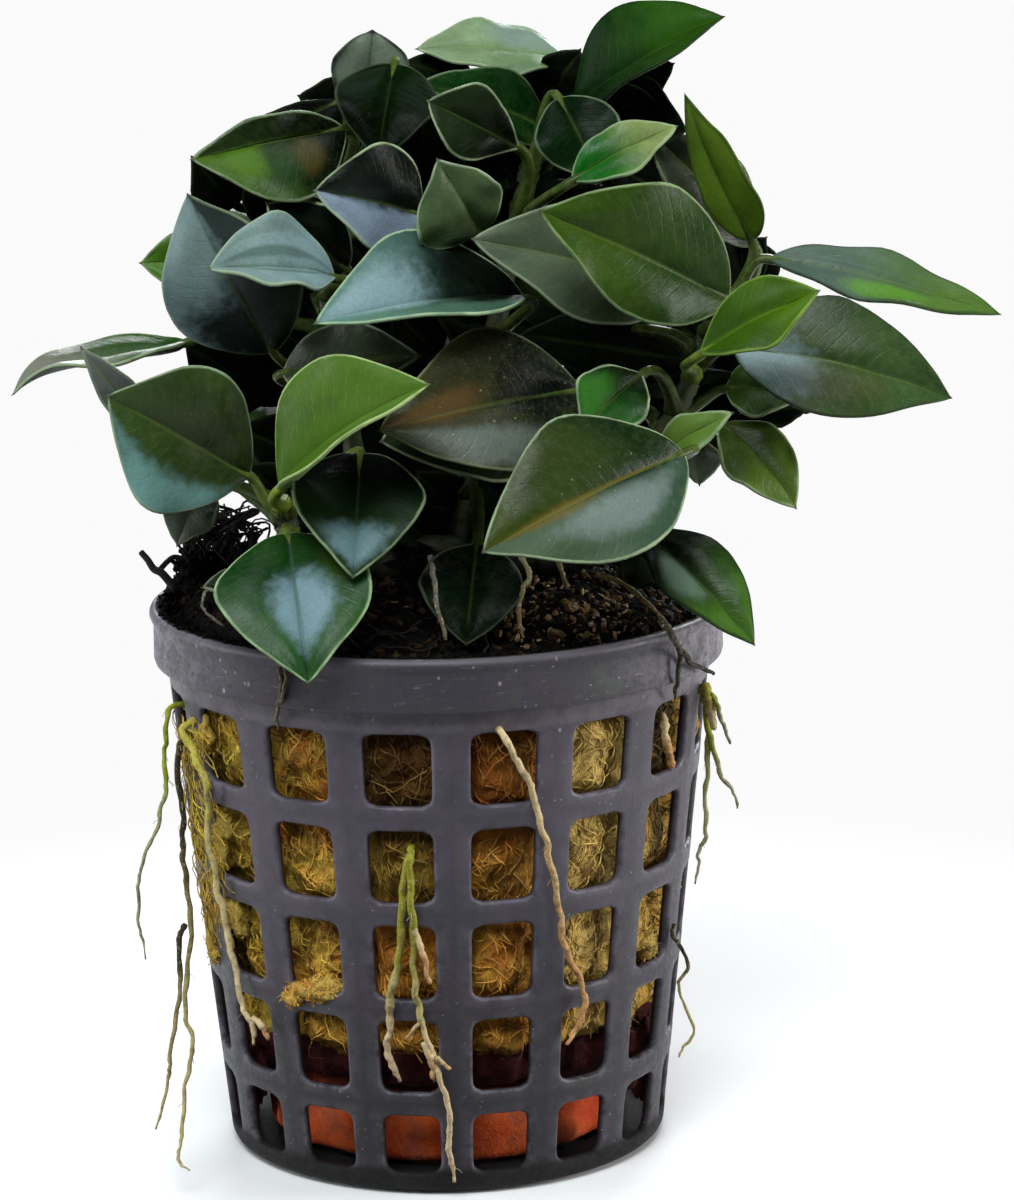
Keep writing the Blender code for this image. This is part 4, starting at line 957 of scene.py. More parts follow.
# ---------------------------------------------------------------- leaves
# name, stem, place on the stem, blade base, blade tip, width, way the face looks (azimuth, elevation), arch, fold, shape
LEAVES = (
    ("leaf_01", "stem_upper_left", 0.55, (-22.5, -2.0, 76.6), (-38.5, -5.0, 72.3), 8.0, (0, 82), 1.5, 10, dict(arch_at=0.75)),
    ("leaf_02", "stem_left", 0.80, (-16.5, -14.0, 66.0), (-28.6, -18.0, 74.2), 14.0, (0, 12), 1.0, 8, dict(wide=0.5)),
    ("leaf_04", "stem_left", 0.45, (-13.0, -18.0, 61.5), (-11.0, -30.0, 50.5), 14.0, (0, 38), 1.2, 8, dict()),
    ("leaf_05", "stem_left", 0.75, (-6.5, -14.5, 68.0), (-7.0, -26.0, 59.0), 12.0, (5, 25), 1.2, 10, dict()),
    ("leaf_06", "stem_left", 0.95, (-13.5, -20.0, 66.0), (0.0, -26.0, 76.0), 15.0, (-35, 48), 0.8, 34, dict()),
    ("leaf_07", "stem_upper_left", 0.35, (-13.5, -9.0, 74.5), (-1.0, -13.0, 76.5), 7.5, (0, 30), 0.8, 10, dict()),
    ("leaf_08", "stem_top", 0.35, (13.5, -12.0, 73.0), (-4.5, -20.0, 71.0), 13.5, (0, 25), 1.2, 8, dict()),
    ("leaf_09", "stem_top", 0.25, (12.5, -9.0, 71.0), (-4.5, -17.0, 69.5), 12.0, (0, 20), 1.0, 8, dict()),
    ("leaf_10", "stem_right", 0.25, (22.5, -17.0, 68.0), (4.5, -28.0, 61.5), 14.5, (0, 30), 1.2, 8, dict()),
    ("leaf_11", "stem_right", 0.55, (19.0, -12.0, 74.4), (13.6, -17.0, 70.2), 7.2, (-5, 25), 0.6, 15, dict(wide=0.56)),
    ("leaf_12", "stem_right", 0.90, (27.0, -9.0, 80.5), (10.0, -18.0, 90.0), 12.4, (0, 20), 1.0, 8, dict(asym=0.1)),
    ("leaf_13", "stem_right", 0.98, (23.0, -5.0, 81.0), (4.0, -13.0, 87.0), 11.5, (0, 25), 1.0, 8, dict()),
    ("leaf_14", "stem_right", 0.70, (24.0, -15.0, 76.5), (34.5, -18.0, 82.5), 7.2, (0, 40), 0.8, 12, dict(wide=0.56)),
    ("leaf_15", "stem_right", 0.75, (27.5, -8.0, 76.0), (47.0, -10.0, 71.4), 12.0, (0, 36), 1.4, 10, dict(asym=-0.02, wide=0.43)),
    ("leaf_16", "stem_right", 0.80, (31.0, -3.0, 83.5), (52.0, -5.0, 78.2), 7.4, (0, 60), 0.4, 8, dict()),
    ("leaf_17", "stem_right", 0.98, (29.5, -1.5, 85.0), (23.4, -5.0, 98.7), 5.6, (-30, 10), 0.8, 12, dict(wide=0.36, asym=0.2)),
    ("leaf_18", "stem_right", 0.90, (30.0, 2.0, 84.0), (20.0, 0.0, 95.5), 7.5, (0, 25), 0.8, 10, dict()),
    ("leaf_19", "stem_top", 0.98, (13.5, 2.0, 97.0), (27.0, -3.0, 105.5), 12.0, (-25, 50), 0.6, 26, dict()),
    ("leaf_20", "stem_top", 0.80, (13.0, -9.0, 91.6), (22.5, -7.0, 96.1), 5.4, (0, 40), 0.5, 12, dict()),
    ("leaf_21", "stem_top", 0.95, (13.0, 8.0, 100.8), (-1.0, 5.0, 102.4), 9.0, (0, 62), 0.6, 5, dict()),
    ("leaf_22", "stem_top", 0.90, (11.5, 3.0, 94.3), (-0.6, -1.4, 99.9), 7.6, (0, 40), 0.9, 8, dict()),
    ("leaf_23", "stem_top", 0.75, (8.4, -4.6, 94.0), (0.2, -7.4, 98.8), 7.0, (-10, 20), 0.8, 10, dict(wide=0.6)),
    ("leaf_24", "stem_top", 0.60, (4.5, -9.0, 87.0), (1.0, -12.0, 94.0), 9.0, (0, 20), 0.8, 10, dict(wide=0.42, asym=-0.2)),
    ("leaf_25", "stem_top", 0.85, (12.0, -3.5, 98.5), (15.5, -7.0, 91.0), 8.0, (0, 30), 0.8, 10, dict()),
    ("leaf_26", "stem_upper_left", 0.80, (-0.5, -7.5, 88.5), (-10.0, -12.5, 91.5), 10.0, (0, 20), 0.8, 10, dict(asym=0.1)),
    ("leaf_27", "stem_upper_left", 0.65, (-8.5, -11.0, 83.5), (-19.5, -15.0, 85.0), 10.5, (0, 52), 0.6, 26, dict()),
    ("leaf_28", "stem_upper_left", 0.40, (-14.5, -6.0, 76.0), (-21.5, -10.0, 91.0), 13.0, (-15, 10), 1.0, 10, dict()),
    ("leaf_29", "stem_upper_left", 0.70, (-20.5, -1.0, 83.5), (-26.5, -3.0, 84.0), 5.5, (0, 20), 0.6, 10, dict()),
    ("leaf_30", "stem_upper_left", 0.92, (-7.5, -3.0, 96.0), (-21.2, -8.0, 94.0), 9.5, (0, 25), 0.4, 14, dict(asym=-0.45)),
    ("leaf_31", "stem_upper_left", 0.98, (-5.6, 5.0, 94.5), (-5.0, 3.0, 104.2), 7.2, (0, 10), 0.8, 10, dict(wide=0.68, blunt=0.5)),
    ("leaf_32", "stem_upper_left", 0.95, (-3.0, 0.0, 101.5), (-4.5, -6.0, 93.5), 9.5, (0, 30), 0.8, 10, dict()),
    ("leaf_34", "stem_top", 0.50, (8.5, -9.0, 81.0), (-10.0, -19.0, 80.5), 14.0, (0, 55), 0.8, 30, dict()),
    ("leaf_36", "stem_right", 0.45, (26.5, -5.0, 68.5), (33.0, -9.0, 61.3), 7.2, (20, 30), 0.8, 10, dict(asym=0.05)),
    ("leaf_39", "stem_right", 0.08, (19.0, -12.0, 60.0), (28.6, -18.0, 50.6), 7.5, (15, 40), 0.7, 10, dict(asym=-0.08)),
    ("leaf_40", "stem_top", 0.05, (3.9, -14.0, 59.5), (2.8, -22.0, 51.9), 9.5, (0, 30), 0.8, 10, dict(wide=0.52)),
    ("leaf_back_1", "stem_back", 0.35, (-9.0, 13.0, 66.0), (-19.0, 25.0, 64.0), 12.0, (-150, 45), 1.2, 10, dict()),
    ("leaf_back_2", "stem_back", 0.65, (-8.0, 14.0, 78.0), (-17.0, 27.0, 80.0), 12.0, (-155, 50), 1.2, 10, dict()),
    ("leaf_back_3", "stem_back", 0.45, (-1.0, 15.0, 69.0), (-3.0, 31.0, 66.0), 13.0, (180, 50), 1.4, 10, dict()),
    ("leaf_back_4", "stem_back", 0.85, (2.0, 14.0, 83.0), (3.0, 29.0, 86.0), 12.0, (180, 55), 1.4, 10, dict()),
    ("leaf_back_5", "stem_back", 0.60, (9.0, 13.0, 75.0), (18.0, 26.0, 74.0), 12.0, (150, 45), 1.2, 10, dict()),
    ("leaf_back_6", "stem_top", 0.70, (12.0, 9.0, 84.0), (22.0, 19.0, 88.0), 11.0, (130, 50), 1.2, 10, dict()),
    ("leaf_back_7", "stem_back", 0.20, (13.0, 10.0, 64.0), (22.0, 22.0, 60.0), 12.0, (140, 40), 1.2, 10, dict()),
    ("leaf_back_8", "stem_upper_left", 0.60, (-14.0, 7.0, 85.0), (-20.5, 19.0, 88.0), 10.0, (-140, 50), 1.0, 10, dict()),
    ("leaf_back_9", "stem_back", 0.08, (-5.0, 12.0, 58.5), (-9.0, 28.0, 56.5), 12.0, (185, 45), 1.2, 10, dict()),
)
# small leaves that have no solid of their own
SMALL_LEAVES = (
    ("leaf_03", "stem_left", 0.60, (-21.0, -8.0, 64.5), (-23.5, -10.0, 59.0), 5.5, (-10, 10), 0.6, 10, dict()),
    ("leaf_33", "stem_upper_left", 0.90, (-8.0, 2.0, 98.0), (-20.5, -1.0, 93.0), 8.0, (0, 20), 0.3, 10, dict(asym=-0.6)),
    ("leaf_35", "stem_right", 0.35, (20.0, -12.0, 66.5), (27.0, -14.0, 71.0), 4.0, (0, 40), 0.5, 10, dict()),
    ("leaf_37", "stem_right", 0.55, (27.0, -3.0, 71.5), (34.0, -5.0, 71.0), 7.0, (0, 40), 0.5, 10, dict()),
    ("leaf_38", "stem_right", 0.40, (24.5, -2.0, 66.5), (24.5, -3.0, 62.5), 4.0, (0, 20), 0.4, 10, dict()),
    ("leaf_41", "stem_top", 0.92, (13.5, 5.0, 95.5), (23.0, 0.0, 96.0), 8.5, (0, -10), 0.5, 10, dict()),
    ("leaf_42", "stem_upper_left", 0.60, (-7.5, -7.0, 83.5), (-14.5, -9.0, 90.0), 7.0, (0, 20), 0.5, 10, dict()),
    ("leaf_43", "stem_left", 0.90, (-24.5, -9.0, 67.5), (-31.5, -11.0, 77.5), 3.6, (0, 20), 0.5, 10, dict()),
    ("leaf_44", "stem_left", 0.20, (-13.0, -20.0, 56.5), (-20.5, -22.0, 57.5), 5.0, (0, 60), 0.5, 10, dict()),
    ("leaf_51", "stem_back", 0.90, (-3.0, 12.0, 86.0), (-8.0, 20.0, 92.0), 11.0, (-170, 25), 0.8, 10, dict()),
    ("leaf_52", "stem_top", 0.90, (6.0, 9.0, 89.0), (13.0, 16.0, 95.0), 10.0, (165, 30), 0.8, 10, dict()),
    ("leaf_53", "stem_back", 0.75, (4.0, 15.0, 76.0), (9.0, 28.0, 80.0), 12.0, (170, 40), 1.0, 10, dict()),
    ("leaf_54", "stem_back", 0.50, (-5.0, 15.0, 72.0), (-12.0, 27.0, 72.0), 12.0, (-160, 45), 1.0, 10, dict()),
    ("leaf_55", "stem_back", 0.30, (5.0, 14.0, 66.0), (11.0, 28.0, 64.0), 12.0, (165, 40), 1.0, 10, dict()),
    ("leaf_56", "stem_back", 0.12, (4.0, 12.0, 60.0), (8.0, 27.0, 57.0), 12.0, (170, 45), 1.0, 10, dict()),
    ("leaf_57", "stem_back", 0.25, (-12.0, 9.0, 64.0), (-21.0, 15.0, 60.0), 10.0, (-145, 40), 1.0, 10, dict()),
    ("leaf_58", "stem_upper_left", 0.45, (-14.0, 6.0, 76.0), (-21.0, 15.0, 77.0), 10.0, (-135, 30), 0.8, 10, dict()),
    ("leaf_59", "stem_back", 0.80, (-3.0, 14.0, 80.0), (-8.0, 26.0, 85.0), 11.0, (-170, 45), 0.8, 10, dict()),
    ("leaf_60", "stem_right", 0.80, (14.0, 8.0, 77.0), (21.0, 15.0, 80.0), 9.0, (140, 30), 0.8, 10, dict()),
    ("leaf_61", "stem_right", 0.45, (11.0, 12.0, 70.0), (20.0, 19.0, 67.0), 10.0, (150, 35), 0.8, 10, dict()),
    ("leaf_62", "stem_top", 0.85, (8.0, 12.0, 82.0), (14.0, 23.0, 86.0), 10.0, (160, 40), 0.8, 10, dict()),
    ("leaf_63", "stem_upper_left", 0.85, (-9.0, 10.0, 84.0), (-13.0, 19.0, 90.0), 9.0, (-165, 35), 0.8, 10, dict()),
    ("leaf_64", "stem_upper_left", 0.25, (-16.0, 3.0, 68.0), (-22.0, 9.0, 65.0), 8.0, (-120, 30), 0.8, 10, dict()),
    ("leaf_65", "stem_right", 0.25, (17.0, 4.0, 65.0), (21.0, 12.0, 61.0), 8.0, (125, 30), 0.8, 10, dict()),
)

# crowded leaves deep in the bush, coloured near-black as painted shade: picture x, y and depth of base and tip, then
# width and face
DEEP_LEAVES = (
    ((268, 398, 4), (186, 345, 0), 8.5, (-10, 20)), ((690, 362, 3), (520, 335, -1), 8.0, (0, 25)), ((645, 395, 5), (556, 328, 3), 9.0, (10, 20)),
    ((668, 200, 6), (598, 160, 4), 6.0, (0, 30)), ((420, 205, 5), (424, 108, 3), 7.5, (0, 10)), ((558, 122, 7), (552, 58, 6), 7.0, (0, 20)),
    ((762, 302, 6), (724, 232, 4), 6.0, (10, 20)), ((700, 425, 4), (736, 345, 1), 7.0, (-10, 20)), ((336, 335, 3), (285, 286, 1), 7.0, (0, 20)),
    ((436, 356, 3), (392, 308, 1), 6.0, (0, 20)), ((505, 350, 4), (436, 312, 1), 6.0, (0, 20)), ((446, 475, 1), (350, 405, -3), 8.5, (0, 20)),
    ((296, 455, 1), (236, 428, -3), 5.5, (0, 20)), ((296, 505, -2), (246, 466, -6), 5.5, (0, 20)), ((446, 558, -2), (392, 512, -6), 6.5, (0, 25)),
    ((526, 526, -4), (478, 476, -6), 6.5, (0, 25)), ((456, 525, -1), (418, 472, -5), 6.5, (0, 25)), ((598, 118, 4), (686, 131, -2), 8.5, (0, 20)),
    ((608, 104, 6), (673, 64, 2), 6.0, (0, 20)), ((236, 205, 6), (192, 157, 2), 5.5, (-10, 20)), ((352, 118, 8), (299, 96, 5), 6.0, (0, 20)),
    ((484, 256, 5), (462, 220, 3), 6.0, (0, 20)), ((374, 276, 3), (346, 236, 1), 5.5, (0, 20)), ((564, 316, 4), (506, 272, 2), 6.0, (0, 20)),
    ((600, 440, 0), (560, 390, -4), 7.0, (0, 25)), ((700, 470, 0), (672, 420, -3), 6.0, (0, 25)), ((640, 300, 6), (560, 240, 5), 9.0, (0, 20)),
    ((300, 400, 5), (250, 320, 3), 9.0, (0, 20)), ((640, 520, -3), (600, 470, -6), 7.0, (0, 25)), ((350, 520, -4), (310, 470, -6), 6.5, (0, 25)),
    ((470, 440, 3), (500, 350, 3), 9.0, (0, 20)), ((420, 300, 6), (440, 220, 5), 9.0, (0, 20)), ((600, 250, 7), (640, 170, 6), 9.0, (0, 20)),
    ((380, 172, 9), (328, 132, 8), 7.0, (0, 15)), ((504, 242, 9), (470, 146, 8), 9.5, (0, 15)), ((592, 236, 9), (540, 158, 8), 8.5, (0, 15)),
    ((548, 104, 9), (506, 58, 8), 6.5, (0, 15)), ((402, 352, 8), (348, 306, 7), 6.5, (0, 15)), ((546, 352, 8), (486, 296, 7), 7.5, (0, 15)),
    ((444, 402, 6), (388, 346, 5), 7.5, (0, 15)), ((366, 476, 5), (318, 426, 4), 6.5, (0, 15)), ((696, 414, 8), (636, 356, 7), 9.5, (0, 15)),
    ((716, 356, 8), (656, 306, 7), 6.5, (0, 15)), ((650, 456, 6), (640, 396, 5), 6.5, (0, 15)), ((656, 584, -3), (630, 530, -5), 5.5, (0, 15)),
    ((314, 550, -5), (296, 500, -6), 4.5, (0, 15)), ((506, 564, -3), (478, 506, -5), 5.5, (0, 15)), ((476, 90, 7), (404, 62, 6), 4.5, (0, 30)),
    ((556, 88, 6), (580, 50, 4), 5.0, (0, 15)), ((733, 276, 6), (766, 238, 4), 4.5, (0, 15)), ((806, 408, 0), (736, 420, -1), 3.2, (0, 30)),
    ((700, 300, 5), (690, 210, 6), 9.0, (0, 20)), ((300, 220, 7), (250, 150, 5), 8.0, (0, 20)), ((520, 200, 7), (480, 120, 6), 8.0, (0, 20)),
)

# pale blue-grey for painted reflections, near-black for painted shade on the leaves
PAINTED_SKY_REFLECTION, PAINTED_SHADE_BLACK = (138, 164, 176), (8, 12, 9)
LOOKS = {
    "leaf_01": dict(base=(36, 74, 18), tip=(118, 120, 108), patches=((0.12, 0.0, 0.46, 1.3, (30, 66, 16), 0.85), (0.45, -0.5, 0.25, 0.5, (120, 128, 110), 0.7),), stalk=(60, 84, 34), under=(60, 66, 52)),
    # leaf_02: the pale blue-green patch near one margin is a painted reflection
    "leaf_02": dict(base=(40, 58, 20), tip=(50, 74, 28), patches=((0.48, -0.86, 0.50, 0.44, (116, 160, 154), 0.9), (0.55, 0.35, 0.35, 0.6, (40, 50, 24), 0.5)), stalk=(96, 116, 44)),
    # leaf_04: the pale blue-grey patch in the middle is a painted reflection
    "leaf_04": dict(mottle=0.5, base=(8, 52, 14), tip=(34, 78, 30), patches=((0.58, -0.08, 0.30, 0.52, (132, 162, 172), 0.85), (0.30, -0.65, 0.2, 0.3, (60, 84, 30), 0.6), (0.10, 0.1, 0.22, 0.9, (26, 66, 16), 0.7)), rib=0.6, rib_colour=(60, 92, 76), edge=0.9,
                    edge_colour=(160, 190, 136), stalk=(104, 124, 52)),
    # leaf_05: the black base is painted shade; the pale blue patch near the tip is a painted highlight
    "leaf_05": dict(mottle=0.12, base=PAINTED_SHADE_BLACK, tip=(26, 52, 22), patches=((0.80, 0.0, 0.17, 0.9, (122, 154, 160), 0.75),), edge=0.75, spec=0.08, stalk=(110, 126, 56)),
    "leaf_06": dict(mottle=0.5, base=(66, 102, 8), tip=(74, 108, 26), under=(140, 168, 104), under_2=(150, 178, 112), edge=0.85, edge_colour=(170, 192, 128), dirt=0.06, vein=0.06, rib=0.3, rib_colour=(108, 138, 30), rough=0.36,
                    stalk=(116, 140, 40), stalk_2=(140, 158, 70), patches=((0.75, 0.3, 0.3, 0.6, (86, 116, 48), 0.5),)),
    "leaf_07": dict(base=(50, 58, 46), tip=(46, 54, 40)),
    # leaf_08: the grey patch on the minus side is a painted highlight and the black patch near the base painted shade;
    # the brown patch is the leaf's own
    "leaf_08": dict(mottle=0.5, base=(14, 22, 10), tip=(62, 58, 32), dots=0.7, dirt=0.5, patches=((0.74, 0.15, 0.26, 0.35, (104, 76, 38), 0.6), (0.62, -0.62, 0.36, 0.36, (110, 122, 112), 0.7), (0.55, 0.6, 0.5, 0.35, (34, 42, 22), 0.6),
                    (0.22, 0.2, 0.25, 0.8, PAINTED_SHADE_BLACK, 0.8)), edge_colour=(130, 140, 104), edge=0.6, rib=0.2),
    "leaf_09": dict(mottle=0.15, base=(12, 26, 10), tip=(40, 54, 26), edge=0.95, edge_colour=(176, 190, 150), spec=0.1),
    # leaf_10: the paler blue-green minus half and the pale grey patch are painted light
    "leaf_10": dict(base=(8, 34, 6), tip=(58, 70, 16), mottle=0.6, minus=((66, 92, 76), 0.55), patches=((0.42, -0.42, 0.34, 0.34, (112, 126, 120), 0.8), (0.60, 0.45, 0.40, 0.5, (44, 60, 22), 0.7), (0.72, -0.05, 0.28, 0.16, (100, 86, 30), 0.7)),
                    rib=0.6, rib_colour=(104, 96, 34), edge=0.8, dots=0.5),
    "leaf_11": dict(mottle=0.3, base=(6, 22, 4), tip=(26, 86, 16), patches=((0.7, 0.5, 0.4, 0.5, (60, 118, 44), 0.6),), edge=0.85, spec=0.1),
    "leaf_12": dict(mottle=0.5, base=(26, 54, 4), tip=(50, 76, 12), plus=((44, 70, 18), 0.4), edge=0.85, edge_colour=(136, 158, 108), spec=0.1),
    "leaf_13": dict(base=(58, 72, 50), tip=(84, 98, 76), edge=0.8, edge_colour=(140, 156, 124)),
    "leaf_14": dict(mottle=0.35, base=(44, 78, 0), tip=(68, 104, 2), edge=0.5, edge_colour=(150, 180, 84), under=(130, 160, 80), under_2=(140, 168, 90), dirt=0.05, vein=0.05, rib=0.3, rib_colour=(128, 160, 44), stalk=(104, 126, 40), rough=0.36),
    # leaf_15: the pale blue-grey patch near the base is a painted reflection
    "leaf_15": dict(base=(46, 64, 30), tip=(50, 76, 36), patches=((0.17, 0.35, 0.26, 0.7, (146, 168, 172), 0.9), (0.5, 0.4, 0.3, 0.4, (66, 70, 36), 0.5)), edge=0.5, edge_colour=(22, 34, 18), under=(30, 44, 20)),
    "leaf_16": dict(base=(76, 96, 84), tip=(74, 108, 40), mottle=0.6, patches=((0.50, 0.55, 0.20, 0.40, (84, 138, 26), 0.7),), edge=0.5, edge_colour=(30, 44, 26)),
    "leaf_17": dict(mottle=0.4, base=(98, 132, 30), tip=(84, 116, 26), edge=0.6, edge_colour=(18, 30, 8), rough=0.4),
    "leaf_18": dict(base=(50, 56, 42), tip=(42, 48, 36), edge=0.3),
    # leaf_19: the darker plus half is painted shade
    "leaf_19": dict(mottle=0.2, base=(0, 32, 0), tip=(46, 90, 10), plus=((0, 22, 0), 0.5), minus=((2, 50, 0), 0.3), edge=0.5, edge_colour=(4, 24, 4), rough=0.34, under=(2, 12, 2), under_2=(4, 18, 4), spec=0.1),
    "leaf_20": dict(mottle=0.4, base=(6, 92, 14), tip=(130, 148, 84), edge=0.6),
    # leaf_21: the pale blue-grey patch is a painted reflection
    "leaf_21": dict(base=(104, 132, 92), tip=(124, 148, 108), patches=((0.3, 0.5, 0.3, 0.5, (122, 138, 140), 0.5),), edge=0.7),
    "leaf_22": dict(base=(2, 36, 6), tip=(8, 50, 12), edge=0.35, spec=0.06),
    "leaf_23": dict(base=(3, 8, 3), tip=(26, 40, 18), edge=0.85, spec=0.06),
    "leaf_24": dict(base=(66, 86, 52), tip=(70, 92, 58), edge=0.85, edge_colour=(150, 168, 136), spec=0.1),
    "leaf_25": dict(base=(0, 22, 2), tip=(6, 34, 8), edge=0.6, edge_colour=(130, 154, 120), spec=0.06),
    # leaf_26: the lavender minus half is a painted reflection and the black plus half painted shade
    "leaf_26": dict(mottle=0.12, base=(8, 14, 11), tip=(50, 60, 60), minus=((126, 142, 158), 0.95), plus=(PAINTED_SHADE_BLACK, 0.95), edge=0.85, spec=0.08),
    # leaf_27: the pale blue-grey blade is a painted reflection; the greener streaks are its own colour showing through
    "leaf_27": dict(base=(130, 156, 158), tip=(126, 150, 148), patches=((0.5, 0.3, 0.5, 0.12, (74, 100, 92), 0.7), (0.45, -0.35, 0.45, 0.10, (78, 102, 94), 0.7), (0.6, 0.75, 0.4, 0.15, (96, 118, 104), 0.5)), edge=0.7),
    # leaf_28: the pale blue-grey tip, minus half and patch are painted reflections; the black plus half and the dark
    # patch near the base are painted shade
    "leaf_28": dict(base=(6, 12, 8), tip=(110, 132, 130), minus=((126, 150, 152), 0.9), plus=(PAINTED_SHADE_BLACK, 0.85), patches=((0.16, -0.4, 0.34, 0.8, (4, 10, 6), 0.95), (0.76, -0.4, 0.26, 0.6, (140, 164, 160), 0.8)), mottle=0.3, edge=0.5, spec=0.08),
    "leaf_29": dict(base=(44, 84, 8), tip=(62, 106, 18), mottle=0.5, edge=0.4),
    "leaf_30": dict(base=(2, 12, 0), tip=(60, 94, 18), mottle=0.35, plus=((6, 16, 3), 0.8), patches=((0.30, -0.40, 0.15, 0.36, (86, 74, 30), 0.5), (0.50, -0.45, 0.16, 0.4, (12, 50, 2), 0.7), (0.70, -0.3, 0.14, 0.5, (74, 112, 16), 0.7), (0.05, 0.0, 0.18, 1.4, (2, 8, 1), 0.9)), edge=0.7,
                    edge_colour=(150, 170, 130), rib=0.3, spec=0.1),
    "leaf_31": dict(base=(60, 76, 56), tip=(104, 118, 102), edge=0.9, edge_mm=0.55, edge_colour=(14, 20, 12), rib=0.1, spec=0.08),
    "leaf_32": dict(base=(2, 22, 1), tip=(1, 5, 1), edge=0.10, spec=0.04, rib=0.06),
    # leaf_34: the black base is painted shade from leaf_13 above; the pale blue-grey tip and patch are painted
    # reflections
    "leaf_34": dict(mottle=0.15, base=PAINTED_SHADE_BLACK, tip=(92, 128, 116), patches=((0.74, 0.1, 0.30, 0.75, (140, 168, 172), 0.9), (0.45, -0.8, 0.5, 0.25, (70, 104, 84), 0.7)), edge=0.9, edge_colour=(160, 186, 144), spec=0.10),
    "leaf_36": dict(base=(52, 74, 18), tip=(78, 104, 34), edge=0.6),
    # leaf_39: the pale blue-grey patch is a painted reflection
    "leaf_39": dict(edge_colour=(18, 28, 12), base=(4, 14, 4), tip=(62, 100, 30), mottle=0.5, patches=((0.40, 0.4, 0.22, 0.5, (110, 134, 116), 0.75), (0.6, -0.4, 0.3, 0.3, (34, 64, 20), 0.5)), edge=0.7),
    "leaf_40": dict(base=(1, 3, 1), tip=(3, 14, 3), edge=0.5, edge_colour=(84, 96, 74), spec=0.04, rib=0.08, stalk=(24, 34, 10), stalk_2=(36, 46, 16)),
    "leaf_03": dict(base=(30, 36, 24), tip=(84, 92, 80), edge=0.5),
    # leaf_33: near-black, painted shade on a leaf lying in shadow
    "leaf_33": dict(base=(3, 5, 3), tip=(5, 9, 5), edge=0.3, edge_colour=(50, 66, 42), spec=0.04),
    "leaf_35": dict(base=(80, 110, 36), tip=(96, 128, 50), edge=0.7),
    "leaf_37": dict(base=(50, 78, 22), tip=(62, 92, 30)),
    "leaf_38": dict(base=(50, 56, 46), tip=(80, 86, 78)),
    # leaf_41: near-black, painted shade on a leaf facing down into shadow
    "leaf_41": dict(base=(3, 5, 3), tip=(8, 10, 8), under=(4, 6, 4), under_2=(8, 10, 8), edge=0.2, edge_colour=(90, 96, 90), spec=0.04),
    # leaf_42: near-black, painted shade
    "leaf_42": dict(base=(3, 6, 3), tip=(10, 18, 12), edge=0.85, spec=0.05),
    "leaf_43": dict(base=(62, 66, 62), tip=(100, 104, 102), edge=0.3),
    "leaf_44": dict(base=(8, 14, 8), tip=(14, 22, 12), edge=0.9, edge_colour=(112, 118, 96), spec=0.05),
}


def face_direction(az, el):
    a, e = radians(az), radians(el)
    return Vector((sin(a) * cos(e), -cos(a) * cos(e), sin(e)))


def half_width(u, wide, blunt=0.85):
    x = min(max(u, 0.0), 1.0) ** (log(0.5) / log(wide))
    return max(sin(pi * x), 0.0) ** blunt * (1 - 0.16 * max(0.0, (u - wide) / (1 - wide)) ** 1.5)


def bump_shape(u, at):
    return (u / at) ** (at / (1 - at)) * ((1 - u) / (1 - at))


class Blade:
    def __init__(self, base, tip, width, face, arch, fold, wide=0.46, asym=0.0, arch_at=0.5, blunt=0.85):
        self.base, self.tip, self.width = Vector(base), Vector(tip), width
        self.along = self.tip - self.base
        a = self.along.normalized()
        n = face_direction(*face)
        self.normal = (n - a * n.dot(a)).normalized()
        self.side = a.cross(self.normal)
        self.arch, self.fold, self.wide, self.asym, self.arch_at, self.blunt = arch, radians(fold), wide, asym, arch_at, blunt

    def midrib(self, u):
        return self.base + self.along * u + self.normal * (self.arch * bump_shape(u, self.arch_at))


HALF = (0.0, 0.05, 0.12, 0.22, 0.34, 0.47, 0.60, 0.72, 0.83, 0.915, 0.97, 1.0)
HALF_COARSE = (0.0, 0.12, 0.34, 0.62, 0.86, 0.97, 1.0)


def grid(fine):
    half, n = (HALF, 34) if fine else (HALF_COARSE, 20)
    return [-s for s in half[:0:-1]] + list(half), [0.004 + 0.991 * (0.5 - 0.5 * cos(pi * i / n)) for i in range(n + 1)]


